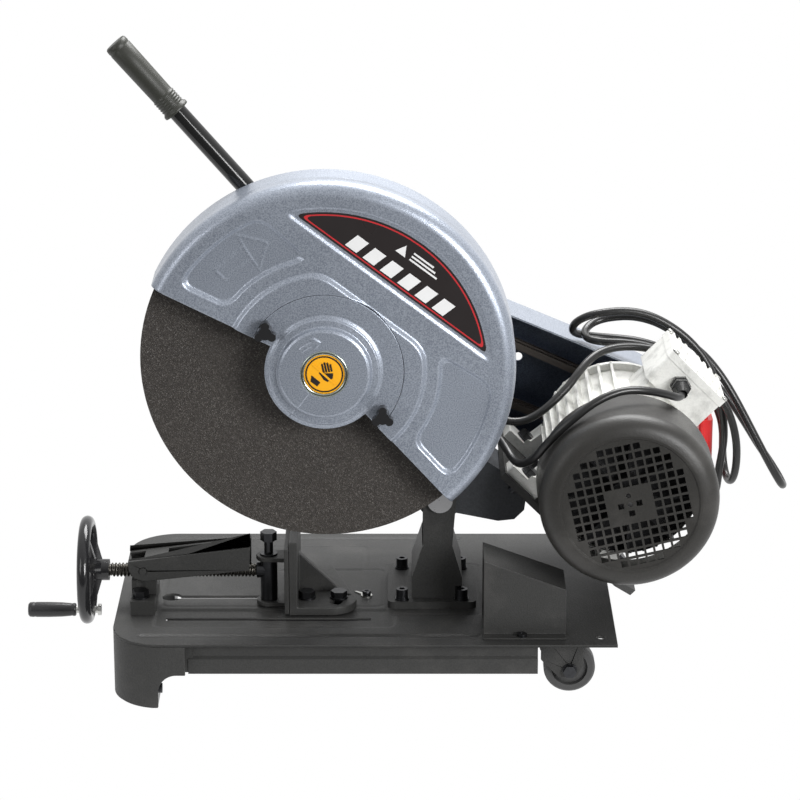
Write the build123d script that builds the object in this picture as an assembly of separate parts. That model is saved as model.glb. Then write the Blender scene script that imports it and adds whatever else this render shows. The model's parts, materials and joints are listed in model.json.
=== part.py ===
from build123d import *
import math
import os

# Abrasive chop saw, millimetres, +Z up.  The machine is drawn about the centre of the cutting disc at rest:
# +X runs from the vice to the motor, +Y from the operator's side to the belt side.  export_node() then moves
# everything so that the origin is the middle of the footprint on the floor.

# ---- driving dimensions -------------------------------------------------------------------------
DISC_R, DISC_T = 200.0, 3.2
BASE_TOP, FLOOR = -300.0, -376.0
PLATE_X0, PLATE_X1, PLATE_Y0, PLATE_Y1, PLATE_T = -235.5, 317.5, -78.0, 269.0, 3.0
PLATE_MID_Y = (PLATE_Y0 + PLATE_Y1) / 2
CORNER_R = 55.0
PIVOT_X, PIVOT_Z = 125.0, -175.0
MOTOR_X, MOTOR_Z = 327.5, -138.8
FOOT_H = 90.0                      # motor axis to the sole of its feet (frame size 90)
FOOT_A, FOOT_Y = 70.0, (40.0, 165.0)
GUARD_R, GUARD_T, GUARD_HALF = 205.5, 2.5, 100.75
GUARD_TILT = 52.85                 # direction of the guard's line of symmetry above +X
GUARD_FRONT, GUARD_SEAM, GUARD_BACK = -38.0, -8.0, 28.0
COVER_R, KNOB_R = 84.6, 78.0
VICE_Y, VICE_Z, SCREW_R, JAW_FACE = 45.0, -259.5, 8.0, -42.6
FENCE_X = -42.2
WHEEL_R, WHEEL_X, WHEEL_W, WHEEL_Y = 28.5, 268.0, 20.0, -19.0
PULLEY_SPINDLE, PULLEY_MOTOR = 40.0, 32.0
BELT_Y = (232.0, 246.0)
BELT_GUARD_Y0, BELT_GUARD_Y1, BELT_GUARD_R = 205.0, 268.0, 72.0
CORD_D = 9.0
ORIGIN = (51.8, 95.5, FLOOR)       # floor point under the middle of the machine, without its cord

S2 = math.sqrt(0.5)
os.makedirs("parts", exist_ok=True)


# ---- small helpers --------------------------------------------------------------------------------
def box(x0, x1, y0, y1, z0, z1):
    return Pos((x0 + x1) / 2, (y0 + y1) / 2, (z0 + z1) / 2) * Box(x1 - x0, y1 - y0, z1 - z0)


def cyl_x(y, z, r, x0, x1):
    return Pos((x0 + x1) / 2, y, z) * Rot(0, 90, 0) * Cylinder(r, x1 - x0)


def cyl_y(x, z, r, y0, y1):
    return Pos(x, (y0 + y1) / 2, z) * Rot(-90, 0, 0) * Cylinder(r, y1 - y0)


def cyl_z(x, y, r, z0, z1):
    return Pos(x, y, (z0 + z1) / 2) * Cylinder(r, z1 - z0)


def slab_y(points, y0, y1):
    """A flat outline in X and Z, between y0 and y1."""
    outline = make_face(Polyline(*[(x, y0, z) for x, z in points], close=True))
    return extrude(outline, amount=y1 - y0, dir=(0, 1, 0))


def slab_z(points, z0, z1):
    """A flat outline in X and Y, between z0 and z1."""
    outline = make_face(Polyline(*[(x, y, z0) for x, y in points], close=True))
    return extrude(outline, amount=z1 - z0, dir=(0, 0, 1))


def turned_y(points, x=0.0, z=0.0, arc=360.0, start=0.0):
    """A (radius, y) profile turned about an axis along Y.  A part turn starts at the angle 'start' above +X."""
    profile = make_face(Polyline(*points, close=True))
    return Pos(x, 0, z) * Rot(0, -start, 0) * revolve(profile, axis=Axis.Y, revolution_arc=arc)


def edges_near(solid, axis, spots, reach=1.0):
    """The edges along an axis that pass within reach of the given places in the other two directions."""
    keep = []
    for edge in solid.edges().filter_by(axis):
        c = edge.center()
        pair = {"X": (c.Y, c.Z), "Y": (c.X, c.Z), "Z": (c.X, c.Y)}[
            "X" if axis == Axis.X else "Y" if axis == Axis.Y else "Z"]
        if any(math.hypot(pair[0] - a, pair[1] - b) < reach for a, b in spots):
            keep.append(edge)
    return keep


def mirrored(solid):
    """The same part on the other side of the base's middle plane."""
    return mirror(solid, about=Plane(origin=(0, PLATE_MID_Y, 0), z_dir=(0, 1, 0)))


def hex_prism(af, height):
    return extrude(RegularPolygon(af / math.sqrt(3), 6), amount=height)


def hex_bolt(shank_r, length, af, head_h, washer_r=0.0, washer_t=0.0):
    """Hex bolt pointing down from z = 0, its head (and washer) above."""
    bolt = Pos(0, 0, washer_t) * hex_prism(af, head_h) + cyl_z(0, 0, shank_r, -length, washer_t)
    if washer_r:
        bolt += cyl_z(0, 0, washer_r, 0, washer_t)
    return bolt


def group(*solids):
    """Several separate solids kept in one node."""
    return Compound(children=[s for part in solids for s in part.solids()])


def motor_place(s, h, y):
    """A point beside the motor: s along its feet, down to the right, and h up towards its terminal box."""
    return (MOTOR_X + (s + h) * S2, y, MOTOR_Z + (h - s) * S2)


def on_motor(solid):
    """Turns a part drawn with X along the feet and Z towards the terminal box onto the tilted motor."""
    return Pos(MOTOR_X, 0, MOTOR_Z) * Rot(0, 45, 0) * solid


def guard_point(u, v):
    """A point of the guard: v along its line of symmetry, u to the right of it."""
    a = math.radians(GUARD_TILT)
    return (v * math.cos(a) + u * math.sin(a), v * math.sin(a) - u * math.cos(a))


def cord_tube(points, diameter):
    """Round cord along straight runs with the largest tangent arc that each corner has room for."""
    vectors = [Vector(*p) for p in points]
    radii = []
    for before, here, after in zip(vectors, vectors[1:], vectors[2:]):
        turn = math.radians((here - before).get_angle(after - here))
        shorter = min((here - before).length, (after - here).length)
        radii.append(0.45 * shorter / math.tan(turn / 2))
    route = FilletPolyline(*vectors, radius=radii)
    start = Plane(origin=route @ 0, z_dir=route % 0)
    tube = sweep(start * Circle(diameter / 2), path=route)
    section = math.pi * diameter ** 2 / 4
    print("cord radii", [round(r) for r in radii], "length", round(route.length),
          "volume ratio", round(tube.volume / (section * route.length), 4))
    return tube


def export_node(name, solid):
    moved = Pos(-ORIGIN[0], -ORIGIN[1], -ORIGIN[2]) * solid
    export_step(moved, f"parts/{name}.step")


# ---- base -----------------------------------------------------------------------------------------
def plate_outline(z0, z1, inset=0.0):
    x0, x1, y0, y1 = PLATE_X0 + inset, PLATE_X1 - inset, PLATE_Y0 + inset, PLATE_Y1 - inset
    plate = box(x0, x1, y0, y1, z0, z1)
    left = edges_near(plate, Axis.Z, [(x0, y0), (x0, y1)])
    return fillet(left, CORNER_R - inset)


def base_top_plate():
    plate = plate_outline(BASE_TOP - PLATE_T, BASE_TOP)
    plate -= box(-179, 48.5, -3.0, 3.0, BASE_TOP - 9, BASE_TOP + 9)
    plate -= cyl_z(-176.5, 64.0, 11.0, BASE_TOP - 9, BASE_TOP + 9)
    plate -= box(-176.5, -52, 60.0, 68.0, BASE_TOP - 9, BASE_TOP + 9)
    for x, y in ((300, PLATE_Y0 + 22), (300, PLATE_Y1 - 22)):
        plate -= cyl_z(x, y, 4.5, BASE_TOP - 9, BASE_TOP + 9)
    for x, y in STAND_HOLES:
        plate -= cyl_z(x, y, 5.0, BASE_TOP - 9, BASE_TOP + 9)
    for x, y in VICE_BOLTS:
        plate -= cyl_z(x, y, 5.2, BASE_TOP - 9, BASE_TOP + 9)
    plate -= cyl_z(DEFLECTOR_SCREW[0], DEFLECTOR_SCREW[1], 3.1, BASE_TOP - 9, BASE_TOP + 9)
    return plate


STAND_HOLES = [(x, y) for x in (83.0, 150.0) for y in (38.0, 135.0)]
VICE_BOLTS = [(-208.5, 24.0), (-208.5, 72.0), (-23.5, 39.6), (12.3, 39.6)]
DEFLECTOR_SCREW = (214.0, -56.0)
FOOT_STUD = (-60.0, -358.0)        # Y and Z of the stud that holds the front rubber foot


def left_end_skirt():
    """Pressed steel skirt round the vice end; it reaches the floor at both corners."""
    low, high, wall = -336.5, BASE_TOP - PLATE_T, 2.5
    band = plate_outline(FLOOR + 2.0, high) - plate_outline(FLOOR, high + 5, wall)
    band -= box(-153.5, 400, -200, 400, -500, 0)
    for side in (-1, 1):
        arch_x, arch_z, arch_r = -163.5, -356.5, 20.0
        y0, y1 = (PLATE_Y0 - 5, PLATE_Y0 + 30) if side < 0 else (PLATE_Y1 - 30, PLATE_Y1 + 5)
        gap = cyl_y(arch_x, arch_z, arch_r, y0, y1) + box(arch_x, 0, y0, y1, -400, low)
        gap += box(arch_x - arch_r, 0, y0, y1, -400, arch_z)
        band -= gap
    mid0, mid1 = PLATE_Y0 + 72, PLATE_Y1 - 72
    gap = box(PLATE_X0 - 5, PLATE_X0 + 30, mid0, mid1, -400, low)
    return band - gap


def side_rails():
    """Bent channels welded under the long edges, each with one joggle along it."""
    step, x0, x1 = -319.0, -151.0, 231.5
    top, low = BASE_TOP - PLATE_T, -339.5
    outline = [(-62.0, top), (-40.0, top), (-40.0, top - 2.5), (-59.5, top - 2.5), (-59.5, step - 2.0),
               (-62.5, step - 5.0), (-62.5, low + 2.5), (-45.0, low + 2.5), (-45.0, low), (-65.0, low),
               (-65.0, step - 3.5), (-62.0, step)]
    face = make_face(Polyline(*[(x0, y, z) for y, z in outline], close=True))
    rail = extrude(face, amount=x1 - x0, dir=(1, 0, 0))
    screw_hole = cyl_z(DEFLECTOR_SCREW[0], DEFLECTOR_SCREW[1], 3.1, BASE_TOP - 9, BASE_TOP)
    return group(rail - screw_hole, mirrored(rail))


def rubber_feet():
    height = 24.0
    foot = plate_outline(FLOOR, FLOOR + height, 3.0)
    foot &= box(-232, -184.5, -74, -18, FLOOR, FLOOR + height)
    foot -= cyl_x(FOOT_STUD[0], FOOT_STUD[1], 3.05, -202, -180)
    return group(foot, mirrored(foot))


def m6_screws():
    """One screw in the deflector's foot, and one screw into the inner side of each rubber foot."""
    x, y = DEFLECTOR_SCREW
    deflector = Pos(x, y, BASE_TOP + 1.6) * (cyl_z(0, 0, 3.0, -9, 0) + cyl_z(0, 0, 5.5, 0, 3.2))
    deflector -= cyl_z(x, y, 1.8, BASE_TOP + 3.0, BASE_TOP + 9)
    stud = cyl_x(*FOOT_STUD, 3.0, -200, -180) + cyl_x(*FOOT_STUD, 5.5, -184.2, -180)
    return group(deflector, stud, mirrored(stud))


def wheel_forks():
    """Two ears and a top strap for each wheel."""
    def ear(y0, y1):
        return slab_y([(236, -303), (283, -303), (283, -343), (275, -356), (256, -356), (236, -335)], y0, y1)
    half = WHEEL_W / 2 + 3.0
    front = ear(WHEEL_Y - half - 3.0, WHEEL_Y - half) + ear(WHEEL_Y + half, WHEEL_Y + half + 3.0)
    front += box(236, 283, WHEEL_Y - half - 3.0, WHEEL_Y + half + 3.0, -306, -303)
    front -= cyl_y(WHEEL_X, FLOOR + WHEEL_R, 5.05, -60, 40)
    return group(front, mirrored(front))


def wheel_axle_bolts():
    z, half = FLOOR + WHEEL_R, WHEEL_W / 2 + 3.0
    bolt = cyl_y(WHEEL_X, z, 5.0, WHEEL_Y - half - 3.0, WHEEL_Y + half + 12.0)
    bolt += cyl_y(WHEEL_X, z, 8.0, WHEEL_Y - half - 5.0, WHEEL_Y - half - 3.0)
    head = Pos(WHEEL_X, WHEEL_Y - half - 5.0, z) * Rot(90, 0, 0) * hex_prism(13.0, 5.0)
    nut = Pos(WHEEL_X, WHEEL_Y + half + 10.0, z) * Rot(90, 0, 0) * hex_prism(17.0, 7.0)
    bolt += head + nut
    return group(bolt, mirrored(bolt))


def road_wheel():
    z, w = FLOOR + WHEEL_R, WHEEL_W / 2
    profile = [(5.05, -w), (10, -w), (10, -w + 4), (19, -w + 5), (20, -w), (26, -w), (WHEEL_R, -w + 3),
               (WHEEL_R, w - 3), (26, w), (20, w), (19, w - 5), (10, w - 4), (10, w), (5.05, w)]
    return Pos(0, WHEEL_Y, 0) * turned_y(profile, WHEEL_X, z)


# ---- pivot stand ----------------------------------------------------------------------------------
def pivot_stand():
    """Foot plate, two cheeks that narrow to a waist, and sloping side walls between them."""
    foot = box(67, 166, 28, 145, BASE_TOP, BASE_TOP + 8)
    foot = fillet(edges_near(foot, Axis.Z, [(67, 28), (67, 145), (166, 28), (166, 145)]), 8)
    for x, y in STAND_HOLES:
        foot -= cyl_z(x, y, 4.6, BASE_TOP - 5, BASE_TOP + 20)
    cheek_outline = [(94, BASE_TOP + 8), (94, -268), (106.5, -230), (106.5, -172), (143.5, -172),
                     (139, -230), (150, -268), (150, BASE_TOP + 8)]
    stand = foot
    for y0, y1 in ((42, 48), (118, 124)):
        cheek = slab_y(cheek_outline, y0, y1) + cyl_y(PIVOT_X, PIVOT_Z, 18.5, y0, y1)
        stand += cheek
    left = slab_y([(94, BASE_TOP + 8), (94, -268), (105.5, -232), (109.5, -234), (99, -268),
                   (99, BASE_TOP + 8)], 44, 122)
    right = slab_y([(150, BASE_TOP + 8), (150, -268), (139.5, -232), (135.5, -234), (145, -268),
                    (145, BASE_TOP + 8)], 44, 122)
    stand += left
    stand += right
    for x, y in STAND_HOLES:
        stand -= cyl_z(x, y, 8.4, BASE_TOP + 8, BASE_TOP + 22)
    stand -= cyl_y(PIVOT_X, PIVOT_Z, 10.05, 0, 200)
    return stand


def stand_screws():
    """Socket cap screws with washers and spring washers."""
    screws = []
    for x, y in STAND_HOLES:
        z = BASE_TOP + 8
        screw = cyl_z(x, y, 8.0, z, z + 1.6) + cyl_z(x, y, 7.0, z + 1.6, z + 3.8)
        screw += cyl_z(x, y, 6.5, z + 3.8, z + 12.6) + cyl_z(x, y, 4.0, BASE_TOP - 14, z + 5)
        screw -= Pos(x, y, z + 8.6) * hex_prism(6.0, 6.0)
        screws.append(screw)
    return group(*screws)


def pivot_pin():
    pin = cyl_y(PIVOT_X, PIVOT_Z, 10.0, 36, 130)
    pin += cyl_y(PIVOT_X, PIVOT_Z, 14.0, 36, 41.6)
    clip = cyl_y(PIVOT_X, PIVOT_Z, 13.0, 124.6, 126.4) - cyl_y(PIVOT_X, PIVOT_Z, 10.0, 120, 130)
    return pin + clip


# ---- vice -----------------------------------------------------------------------------------------
def fixed_fence():
    """Cast angle: an upright face, a foot with a rounded end, a low gusset, a bolt hole and an arc slot."""
    top, y0, y1 = -214.0, 8.0, 139.0
    wall = box(FENCE_X, FENCE_X + 9, y0, y1, BASE_TOP, top)
    foot = box(FENCE_X, 4, y0, y1, BASE_TOP, BASE_TOP + 9)
    foot += cyl_z(4, 36, 28, BASE_TOP, BASE_TOP + 9)
    foot += slab_z([(4, 64), (28, 50), (4, y1)], BASE_TOP, BASE_TOP + 9)
    fence = wall + foot
    fence += slab_y([(FENCE_X + 9, BASE_TOP + 9), (FENCE_X + 9, -245.5), (4, -280.5), (13, BASE_TOP + 9)], 62, 70)
    fence -= cyl_z(VICE_BOLTS[2][0], VICE_BOLTS[2][1], 5.3, BASE_TOP - 5, BASE_TOP + 30)
    pivot_x, pivot_y = VICE_BOLTS[2]
    slot = cyl_z(pivot_x, pivot_y, 41.2, BASE_TOP - 5, BASE_TOP + 30)
    slot -= cyl_z(pivot_x, pivot_y, 30.4, BASE_TOP - 6, BASE_TOP + 31)
    slot &= slab_z([(pivot_x, pivot_y), (pivot_x + 60, pivot_y - 36), (pivot_x + 60, pivot_y + 30)],
                   BASE_TOP - 5, BASE_TOP + 30)
    return fence - slot


def vice_hex_bolts():
    """Four M10 hex bolts: two hold the nut block, two hold the fence."""
    seats = [BASE_TOP + 16, BASE_TOP + 16, BASE_TOP + 9, BASE_TOP + 9]
    bolts = []
    for (x, y), seat in zip(VICE_BOLTS, seats):
        bolts.append(Pos(x, y, seat) * hex_bolt(5.0, seat - BASE_TOP + 14, 16.0, 6.6, 10.0, 2.0))
    return group(*bolts)


HINGE_X, HINGE_Z = -205.5, -254.0


def vice_nut_block():
    """Cast block with a foot at each side, a cradle under the screw, and two pins that carry the lever."""
    block = box(-219, -192, 9.5, 85, BASE_TOP, BASE_TOP + 16)
    block += box(-219, -192, 33, 57, BASE_TOP, -267.8)
    block += box(HINGE_X - 6, HINGE_X + 6, 33, 57, -268, HINGE_Z + 4.5)
    block += cyl_y(HINGE_X, HINGE_Z, 4.0, 23.5, 66.5)
    block -= box(-230, -180, VICE_Y - 8.6, VICE_Y + 8.6, -267.8, HINGE_Z + 10)
    for x, y in VICE_BOLTS[:2]:
        block -= cyl_z(x, y, 10.3, BASE_TOP + 16, BASE_TOP + 32)
        block -= cyl_z(x, y, 5.3, BASE_TOP - 5, BASE_TOP + 30)
    return block


JAW_PIN_X, LUG_LOW, LUG_HIGH, LUG_T = -66.0, BASE_TOP + 1.0, -246.0, 5.0


def movable_jaw():
    """Steel plate that closes on the fence, with two lugs for the swivel bolt."""
    jaw = box(JAW_FACE - 5, JAW_FACE, 8, 96, BASE_TOP + 1.0, -222)
    lug = box(JAW_PIN_X, JAW_FACE - 4, VICE_Y - 14, VICE_Y + 14, 0, LUG_T) + cyl_z(JAW_PIN_X, VICE_Y, 14, 0, LUG_T)
    lug -= cyl_z(JAW_PIN_X, VICE_Y, 6.1, -5, 10)
    for z in (LUG_LOW, LUG_HIGH):
        jaw += Pos(0, 0, z) * lug
    return jaw


def jaw_swivel_bolt():
    """Pin through both lugs, with a washer and a hex bolt run part of the way down into its top."""
    top = LUG_HIGH + LUG_T
    bolt = cyl_z(JAW_PIN_X, VICE_Y, 6.0, LUG_LOW, top + 2)
    bolt += cyl_z(JAW_PIN_X, VICE_Y, 9.8, top, top + 2)
    bolt += cyl_z(JAW_PIN_X, VICE_Y, 5.0, top + 2, top + 17)
    return bolt + Pos(JAW_PIN_X, VICE_Y, top + 17) * hex_prism(16.0, 10.0)


def jaw_swivel_tube():
    """Spacer tube between the lugs; the end of the vice screw turns in its cross hole."""
    tube = cyl_z(JAW_PIN_X, VICE_Y, 9.5, LUG_LOW + LUG_T + 0.2, LUG_HIGH - 0.2)
    tube += cyl_x(VICE_Y, VICE_Z, 9.0, -79.5, -68)
    tube -= cyl_z(JAW_PIN_X, VICE_Y, 6.05, -320, -200)
    return tube - cyl_x(VICE_Y, VICE_Z, 6.08, -90, -73.0)


def vice_screw():
    screw = cyl_x(VICE_Y, VICE_Z, SCREW_R, -244, -80)
    screw += cyl_x(VICE_Y, VICE_Z, 6.0, -80, -73.4)
    screw += cyl_x(VICE_Y, VICE_Z, 7.0, -262, -244)
    return screw


def handwheel():
    """Dished wheel: hub towards the vice, three flat spokes, round rim."""
    rim = Pos(-269, VICE_Y, VICE_Z) * Rot(0, 90, 0) * Torus(53.5, 7.0)
    hub = cyl_x(VICE_Y, VICE_Z, 12.0, -261, -244.5)
    wheel = rim + hub
    for k in range(3):
        spoke = slab_y([(-259, 8), (-252, 8), (-265, 51), (-273, 51)], -7, 7)
        wheel += Pos(0, VICE_Y, VICE_Z) * Rot(-90 + 120 * k + 180, 0, 0) * Rot(90, 0, 0) * spoke
    wheel -= cyl_x(VICE_Y, VICE_Z, 7.0, -270, -240)
    return wheel - cyl_x(VICE_Y, VICE_Z - 48, 4.0, -290, -250)


def crank_pin():
    z = VICE_Z - 48
    pin = cyl_x(VICE_Y, z, 4.0, -334, -258) + cyl_x(VICE_Y, z, 6.5, -258.6, -255)
    return pin


def crank_grip():
    z = VICE_Z - 48
    grip = cyl_x(VICE_Y, z, 8.6, -337, -283)
    grip = fillet(grip.edges(), 3.0)
    return grip - cyl_x(VICE_Y, z, 4.06, -334.6, -270)


LEVER_TOP = [(-222.0, -243.0), (-86.0, -225.5)]
LEVER_Y = (25.0, 65.0)


def lever_top_z(x):
    (x0, z0), (x1, z1) = LEVER_TOP
    return z0 + (z1 - z0) * (x - x0) / (x1 - x0)


def lever_strip(x0, x1, y0, y1):
    """A 3 mm strip under the lever's sloping top."""
    z0, z1 = lever_top_z(x0), lever_top_z(x1)
    return slab_y([(x0, z0), (x1, z1), (x1, z1 - 3), (x0, z0 - 3)], y0, y1)


def release_lever():
    """Channel over the screw, welded from plates and hinged on the block's pins; two wedges grip the thread."""
    y0, y1 = LEVER_Y
    side = LEVER_TOP + [(-87, -253), (-203, -266), (-215, -263), (-221, -254)]
    plates = [slab_y(side, y0, y0 + 3), slab_y(side, y1 - 3, y1)]
    plates += [lever_strip(-222, -86, y0 + 3, y0 + 9.5), lever_strip(-222, -86, y1 - 9.5, y1 - 3)]
    plates.append(lever_strip(-204, -178, y0 + 9.5, y1 - 9.5))
    for sign in (-1, 1):
        outline = Polyline((0.05 * sign, 11.6), (0.05 * sign, 20.5), (9.3 * sign, 20.5), (11.9 * sign, 2.0),
                           (9.55 * sign, 2.0), close=True)
        wedge = extrude(make_face(outline), amount=12, dir=(0, 0, 1))
        wedge = Pos(-190, VICE_Y, VICE_Z) * Rot(0, 0, 90) * Rot(90, 0, 0) * wedge
        plates.append(wedge - slab_y([(-195, lever_top_z(-195) - 3), (-173, lever_top_z(-173) - 3), (-173, -200),
                                      (-195, -200)], 30, 60))
    return group(*[p - cyl_y(HINGE_X, HINGE_Z, 4.06, 20, 70) for p in plates])


# ---- spark deflector ------------------------------------------------------------------------------
def spark_deflector():
    """Folded sheet scoop, open towards the disc and below, its front wall turned out as a foot."""
    t, x0, x1, y0, y1 = 1.6, 172.0, 262.0, -49.0, 12.0
    left, right = -214.0, -247.0
    front = slab_y([(x0, BASE_TOP), (x1, BASE_TOP), (x1, right), (x0, left)], y0, y0 + t)
    back = slab_y([(x0, BASE_TOP), (x1, BASE_TOP), (x1, right), (x0, left)], y1 - t, y1)
    top = slab_y([(x0, left), (x1, right), (x1, right - t), (x0, left - t)], y0, y1)
    end = box(x1 - t, x1, y0, y1, BASE_TOP, right)
    foot = box(x0, x1, y0 - 14, y0 + t, BASE_TOP, BASE_TOP + t)
    scoop = front + back + top + end + foot
    return scoop - cyl_z(DEFLECTOR_SCREW[0], DEFLECTOR_SCREW[1], 3.1, BASE_TOP - 5, BASE_TOP + 9)


# ---- swing arm ------------------------------------------------------------------------------------
HOUSING_R = 36.0


def swing_arm():
    """Casting: spindle housing, web to the pivot boss, and the shelf under the motor plate."""
    arm = cyl_y(0, 0, HOUSING_R, 36, 204)
    arm += cyl_y(0, 0, 58.0, 28.3, 37)
    reach = math.hypot(PIVOT_X, PIVOT_Z)
    side_x, side_z = -PIVOT_Z / reach * 20.0, PIVOT_X / reach * 20.0
    arm += slab_y([(side_x, side_z), (PIVOT_X + side_x, PIVOT_Z + side_z), (PIVOT_X - side_x, PIVOT_Z - side_z),
                   (-side_x, -side_z)], 62, 104)
    shelf_a, shelf_b = motor_place(-88, -FOOT_H - 8.0, 0), motor_place(-52, -FOOT_H - 8.0, 0)
    shelf = [(112, -152), (156, -118), (shelf_a[0], shelf_a[2]), (shelf_b[0], shelf_b[2]),
             (219, -190), (208, -201), (190, -203), (141, -193)]
    arm += slab_y(shelf, 49, 117)
    arm += cyl_y(PIVOT_X, PIVOT_Z, 26.0, 49, 117)
    arm += box(60, 147, 92, 98, -106, -30)
    arm -= cyl_y(PIVOT_X, PIVOT_Z, 13.0, 0, 200)
    arm -= cyl_y(0, 0, 26.0, 0, 300)
    return arm


def pivot_bushes():
    bushes = []
    for y0, y1 in ((49, 74), (92, 117)):
        bushes.append(cyl_y(PIVOT_X, PIVOT_Z, 13.0, y0, y1) - cyl_y(PIVOT_X, PIVOT_Z, 10.05, 40, 130))
    return group(*bushes)


def spindle_bearings():
    rings = []
    for y0 in (40.0, 186.0):
        rings.append(cyl_y(0, 0, 26.0, y0, y0 + 15) - cyl_y(0, 0, 12.55, 30, 220))
    return group(*rings)


def spindle_shaft():
    shaft = cyl_y(0, 0, 12.5, 12.2, 262)
    shaft += cyl_y(0, 0, 18.0, 22, 39.5)
    shaft += cyl_y(0, 0, 16.0, -9.0, 12.2)
    return shaft + cyl_y(0, 0, 10.0, -26, -9.0)


def disc_flanges():
    outer = cyl_y(0, 0, 52.0, -9.6, -DISC_T / 2) - cyl_y(0, 0, 16.0, -20, 20)
    inner = cyl_y(0, 0, 52.0, DISC_T / 2, 12.2) - cyl_y(0, 0, 16.0, -20, 20)
    inner += cyl_y(0, 0, 26.0, 12.2, 21.8) - cyl_y(0, 0, 12.5, 0, 30)
    return group(outer, inner)


def cutting_disc():
    return cyl_y(0, 0, DISC_R, -DISC_T / 2, DISC_T / 2) - cyl_y(0, 0, 16.0, -20, 20)


def disc_nut():
    nut = Pos(0, -9.7, 0) * Rot(90, 0, 0) * hex_prism(30.0, 14.0)
    return nut - cyl_y(0, 0, 10.0, -40, 0)


def v_pulley(x, z, r, bore):
    """Two V grooves; r is the radius at which the belts run."""
    half, lip = 4.5, r + 3.5
    profile = [(bore, 222), (lip, 222)]
    for y in BELT_Y:
        profile += [(lip, y - half - 2), (r - 5.5, y - half + 0.6), (r - 5.5, y + half - 0.6), (lip, y + half + 2)]
    profile += [(lip, 256), (bore, 256)]
    return turned_y(profile, x, z)


def v_belts():
    """Closed belts: a band round both pulleys, touching neither flank."""
    belts = []
    length = math.hypot(MOTOR_X, MOTOR_Z)
    slope = math.degrees(math.atan2(MOTOR_Z, MOTOR_X))
    for y in BELT_Y:
        outer_a, outer_b = PULLEY_SPINDLE + 3.0, PULLEY_MOTOR + 3.0
        bands = []
        for a, b in ((outer_a, outer_b), (outer_a - 7.5, outer_b - 7.5)):
            face = make_hull(Circle(a).edges() + (Pos(length, 0, 0) * Circle(b)).edges())
            bands.append(face)
        ring = extrude(bands[0] - bands[1], amount=7.0)
        belts.append(Pos(0, y + 3.5, 0) * Rot(0, -slope, 0) * Rot(90, 0, 0) * ring)
    return group(*belts)


# ---- guard ----------------------------------------------------------------------------------------
def guard_sector(profile):
    return turned_y(profile, arc=2 * GUARD_HALF, start=GUARD_TILT + GUARD_HALF)


def guard_front_cover():
    """Pressed front half: a flat face with a raised ring, a wide rounded shoulder and a rim."""
    r, t, f = GUARD_R, GUARD_T, GUARD_FRONT
    outer = [(70, f - 1.4), (85.0, f - 1.4), (85.2, f - 4), (104, f - 4), (109, f), (191, f)]
    shoulder = [(191 + 14.5 * math.sin(math.radians(a)), f + 14.5 - 14.5 * math.cos(math.radians(a)))
                for a in range(15, 91, 15)]
    inner_shoulder = [(191 + 12.0 * math.sin(math.radians(a)), f + 14.5 - 12.0 * math.cos(math.radians(a)))
                      for a in range(90, -1, -15)]
    inner = [(107.5, f + t), (102.5, f + t - 4), (86.5, f + t - 4), (86.3, f + 1.1), (70, f + 1.1)]
    profile = outer + shoulder + [(r, GUARD_SEAM), (r - t, GUARD_SEAM)] + inner_shoulder + inner
    cover = guard_sector(profile)
    for side in (-1, 1):
        x, z = guard_point(side * KNOB_R, 0)
        cover -= cyl_y(x, z, 3.3, -60, -20)
    return cover


def access_cover():
    """Removable middle of the guard, with the round hub over the disc nut."""
    f = GUARD_FRONT - 4
    plate = guard_sector([(45, f), (COVER_R, f), (COVER_R, f + 2.4), (45, f + 2.4)])
    hub = [(0, -52), (42, -52), (46.5, -50), (48.5, -47), (57, -45), (61, f), (61, f + 2.4), (56, f + 2.2),
           (50, -42.5), (50, -16), (47.8, -16), (46.2, -45.5), (43.5, -49), (41, -49.8), (0, -49.8)]
    cover = plate + turned_y(hub)
    for side in (-1, 1):
        x, z = guard_point(side * KNOB_R, 0)
        cover -= cyl_y(x, z, 3.3, -60, -20)
    return cover


def cover_knob(side):
    """Three-lobed knob with its stud."""
    x, z = guard_point(side * KNOB_R, 0)
    top = GUARD_FRONT - 4.3
    knob = cyl_y(x, z, 7.0, top - 17, top) + cyl_y(x, z, 3.0, top, -30)
    for k in range(3):
        a = math.radians(90 + 120 * k)
        knob += cyl_y(x + 8.0 * math.cos(a), z + 8.0 * math.sin(a), 4.5, top - 17, top - 7)
    return knob


def guard_back_shell():
    r, t, b = GUARD_R, GUARD_T, GUARD_BACK
    profile = [(r, GUARD_SEAM + 0.2), (r, b), (40, b), (40, b - t), (r - t, b - t), (r - t, GUARD_SEAM + 0.2)]
    return guard_sector(profile)


# ---- handle ---------------------------------------------------------------------------------------
HANDLE_Y = 40.0
HANDLE_FOOT = (-34.6, 124.7)
HANDLE_DIR = (-0.6564, 0.7545)
HANDLE_LEN = 285.0


def along_handle(distance):
    return (HANDLE_FOOT[0] + HANDLE_DIR[0] * distance, HANDLE_Y, HANDLE_FOOT[1] + HANDLE_DIR[1] * distance)


def handle_rod(r, d0, d1):
    centre = along_handle((d0 + d1) / 2)
    lean = math.degrees(math.atan2(HANDLE_DIR[0], HANDLE_DIR[1]))
    return Pos(*centre) * Rot(0, lean, 0) * Cylinder(r, d1 - d0)


def handle_tube():
    """Tube with two welded pads on the guard's back plate."""
    tube = handle_rod(10.0, 0, HANDLE_LEN - 8)
    for d in (8.0, 52.0):
        x, _, z = along_handle(d)
        tube += box(x - 11, x + 11, GUARD_BACK, HANDLE_Y - 4, z - 11, z + 11)
    return tube - handle_rod(8.0, -5, HANDLE_LEN)


def handle_grip():
    grip = handle_rod(13.0, HANDLE_LEN - 96, HANDLE_LEN) + handle_rod(15.0, HANDLE_LEN - 98, HANDLE_LEN - 93)
    return grip - handle_rod(10.05, HANDLE_LEN - 110, HANDLE_LEN - 7.9)


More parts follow.
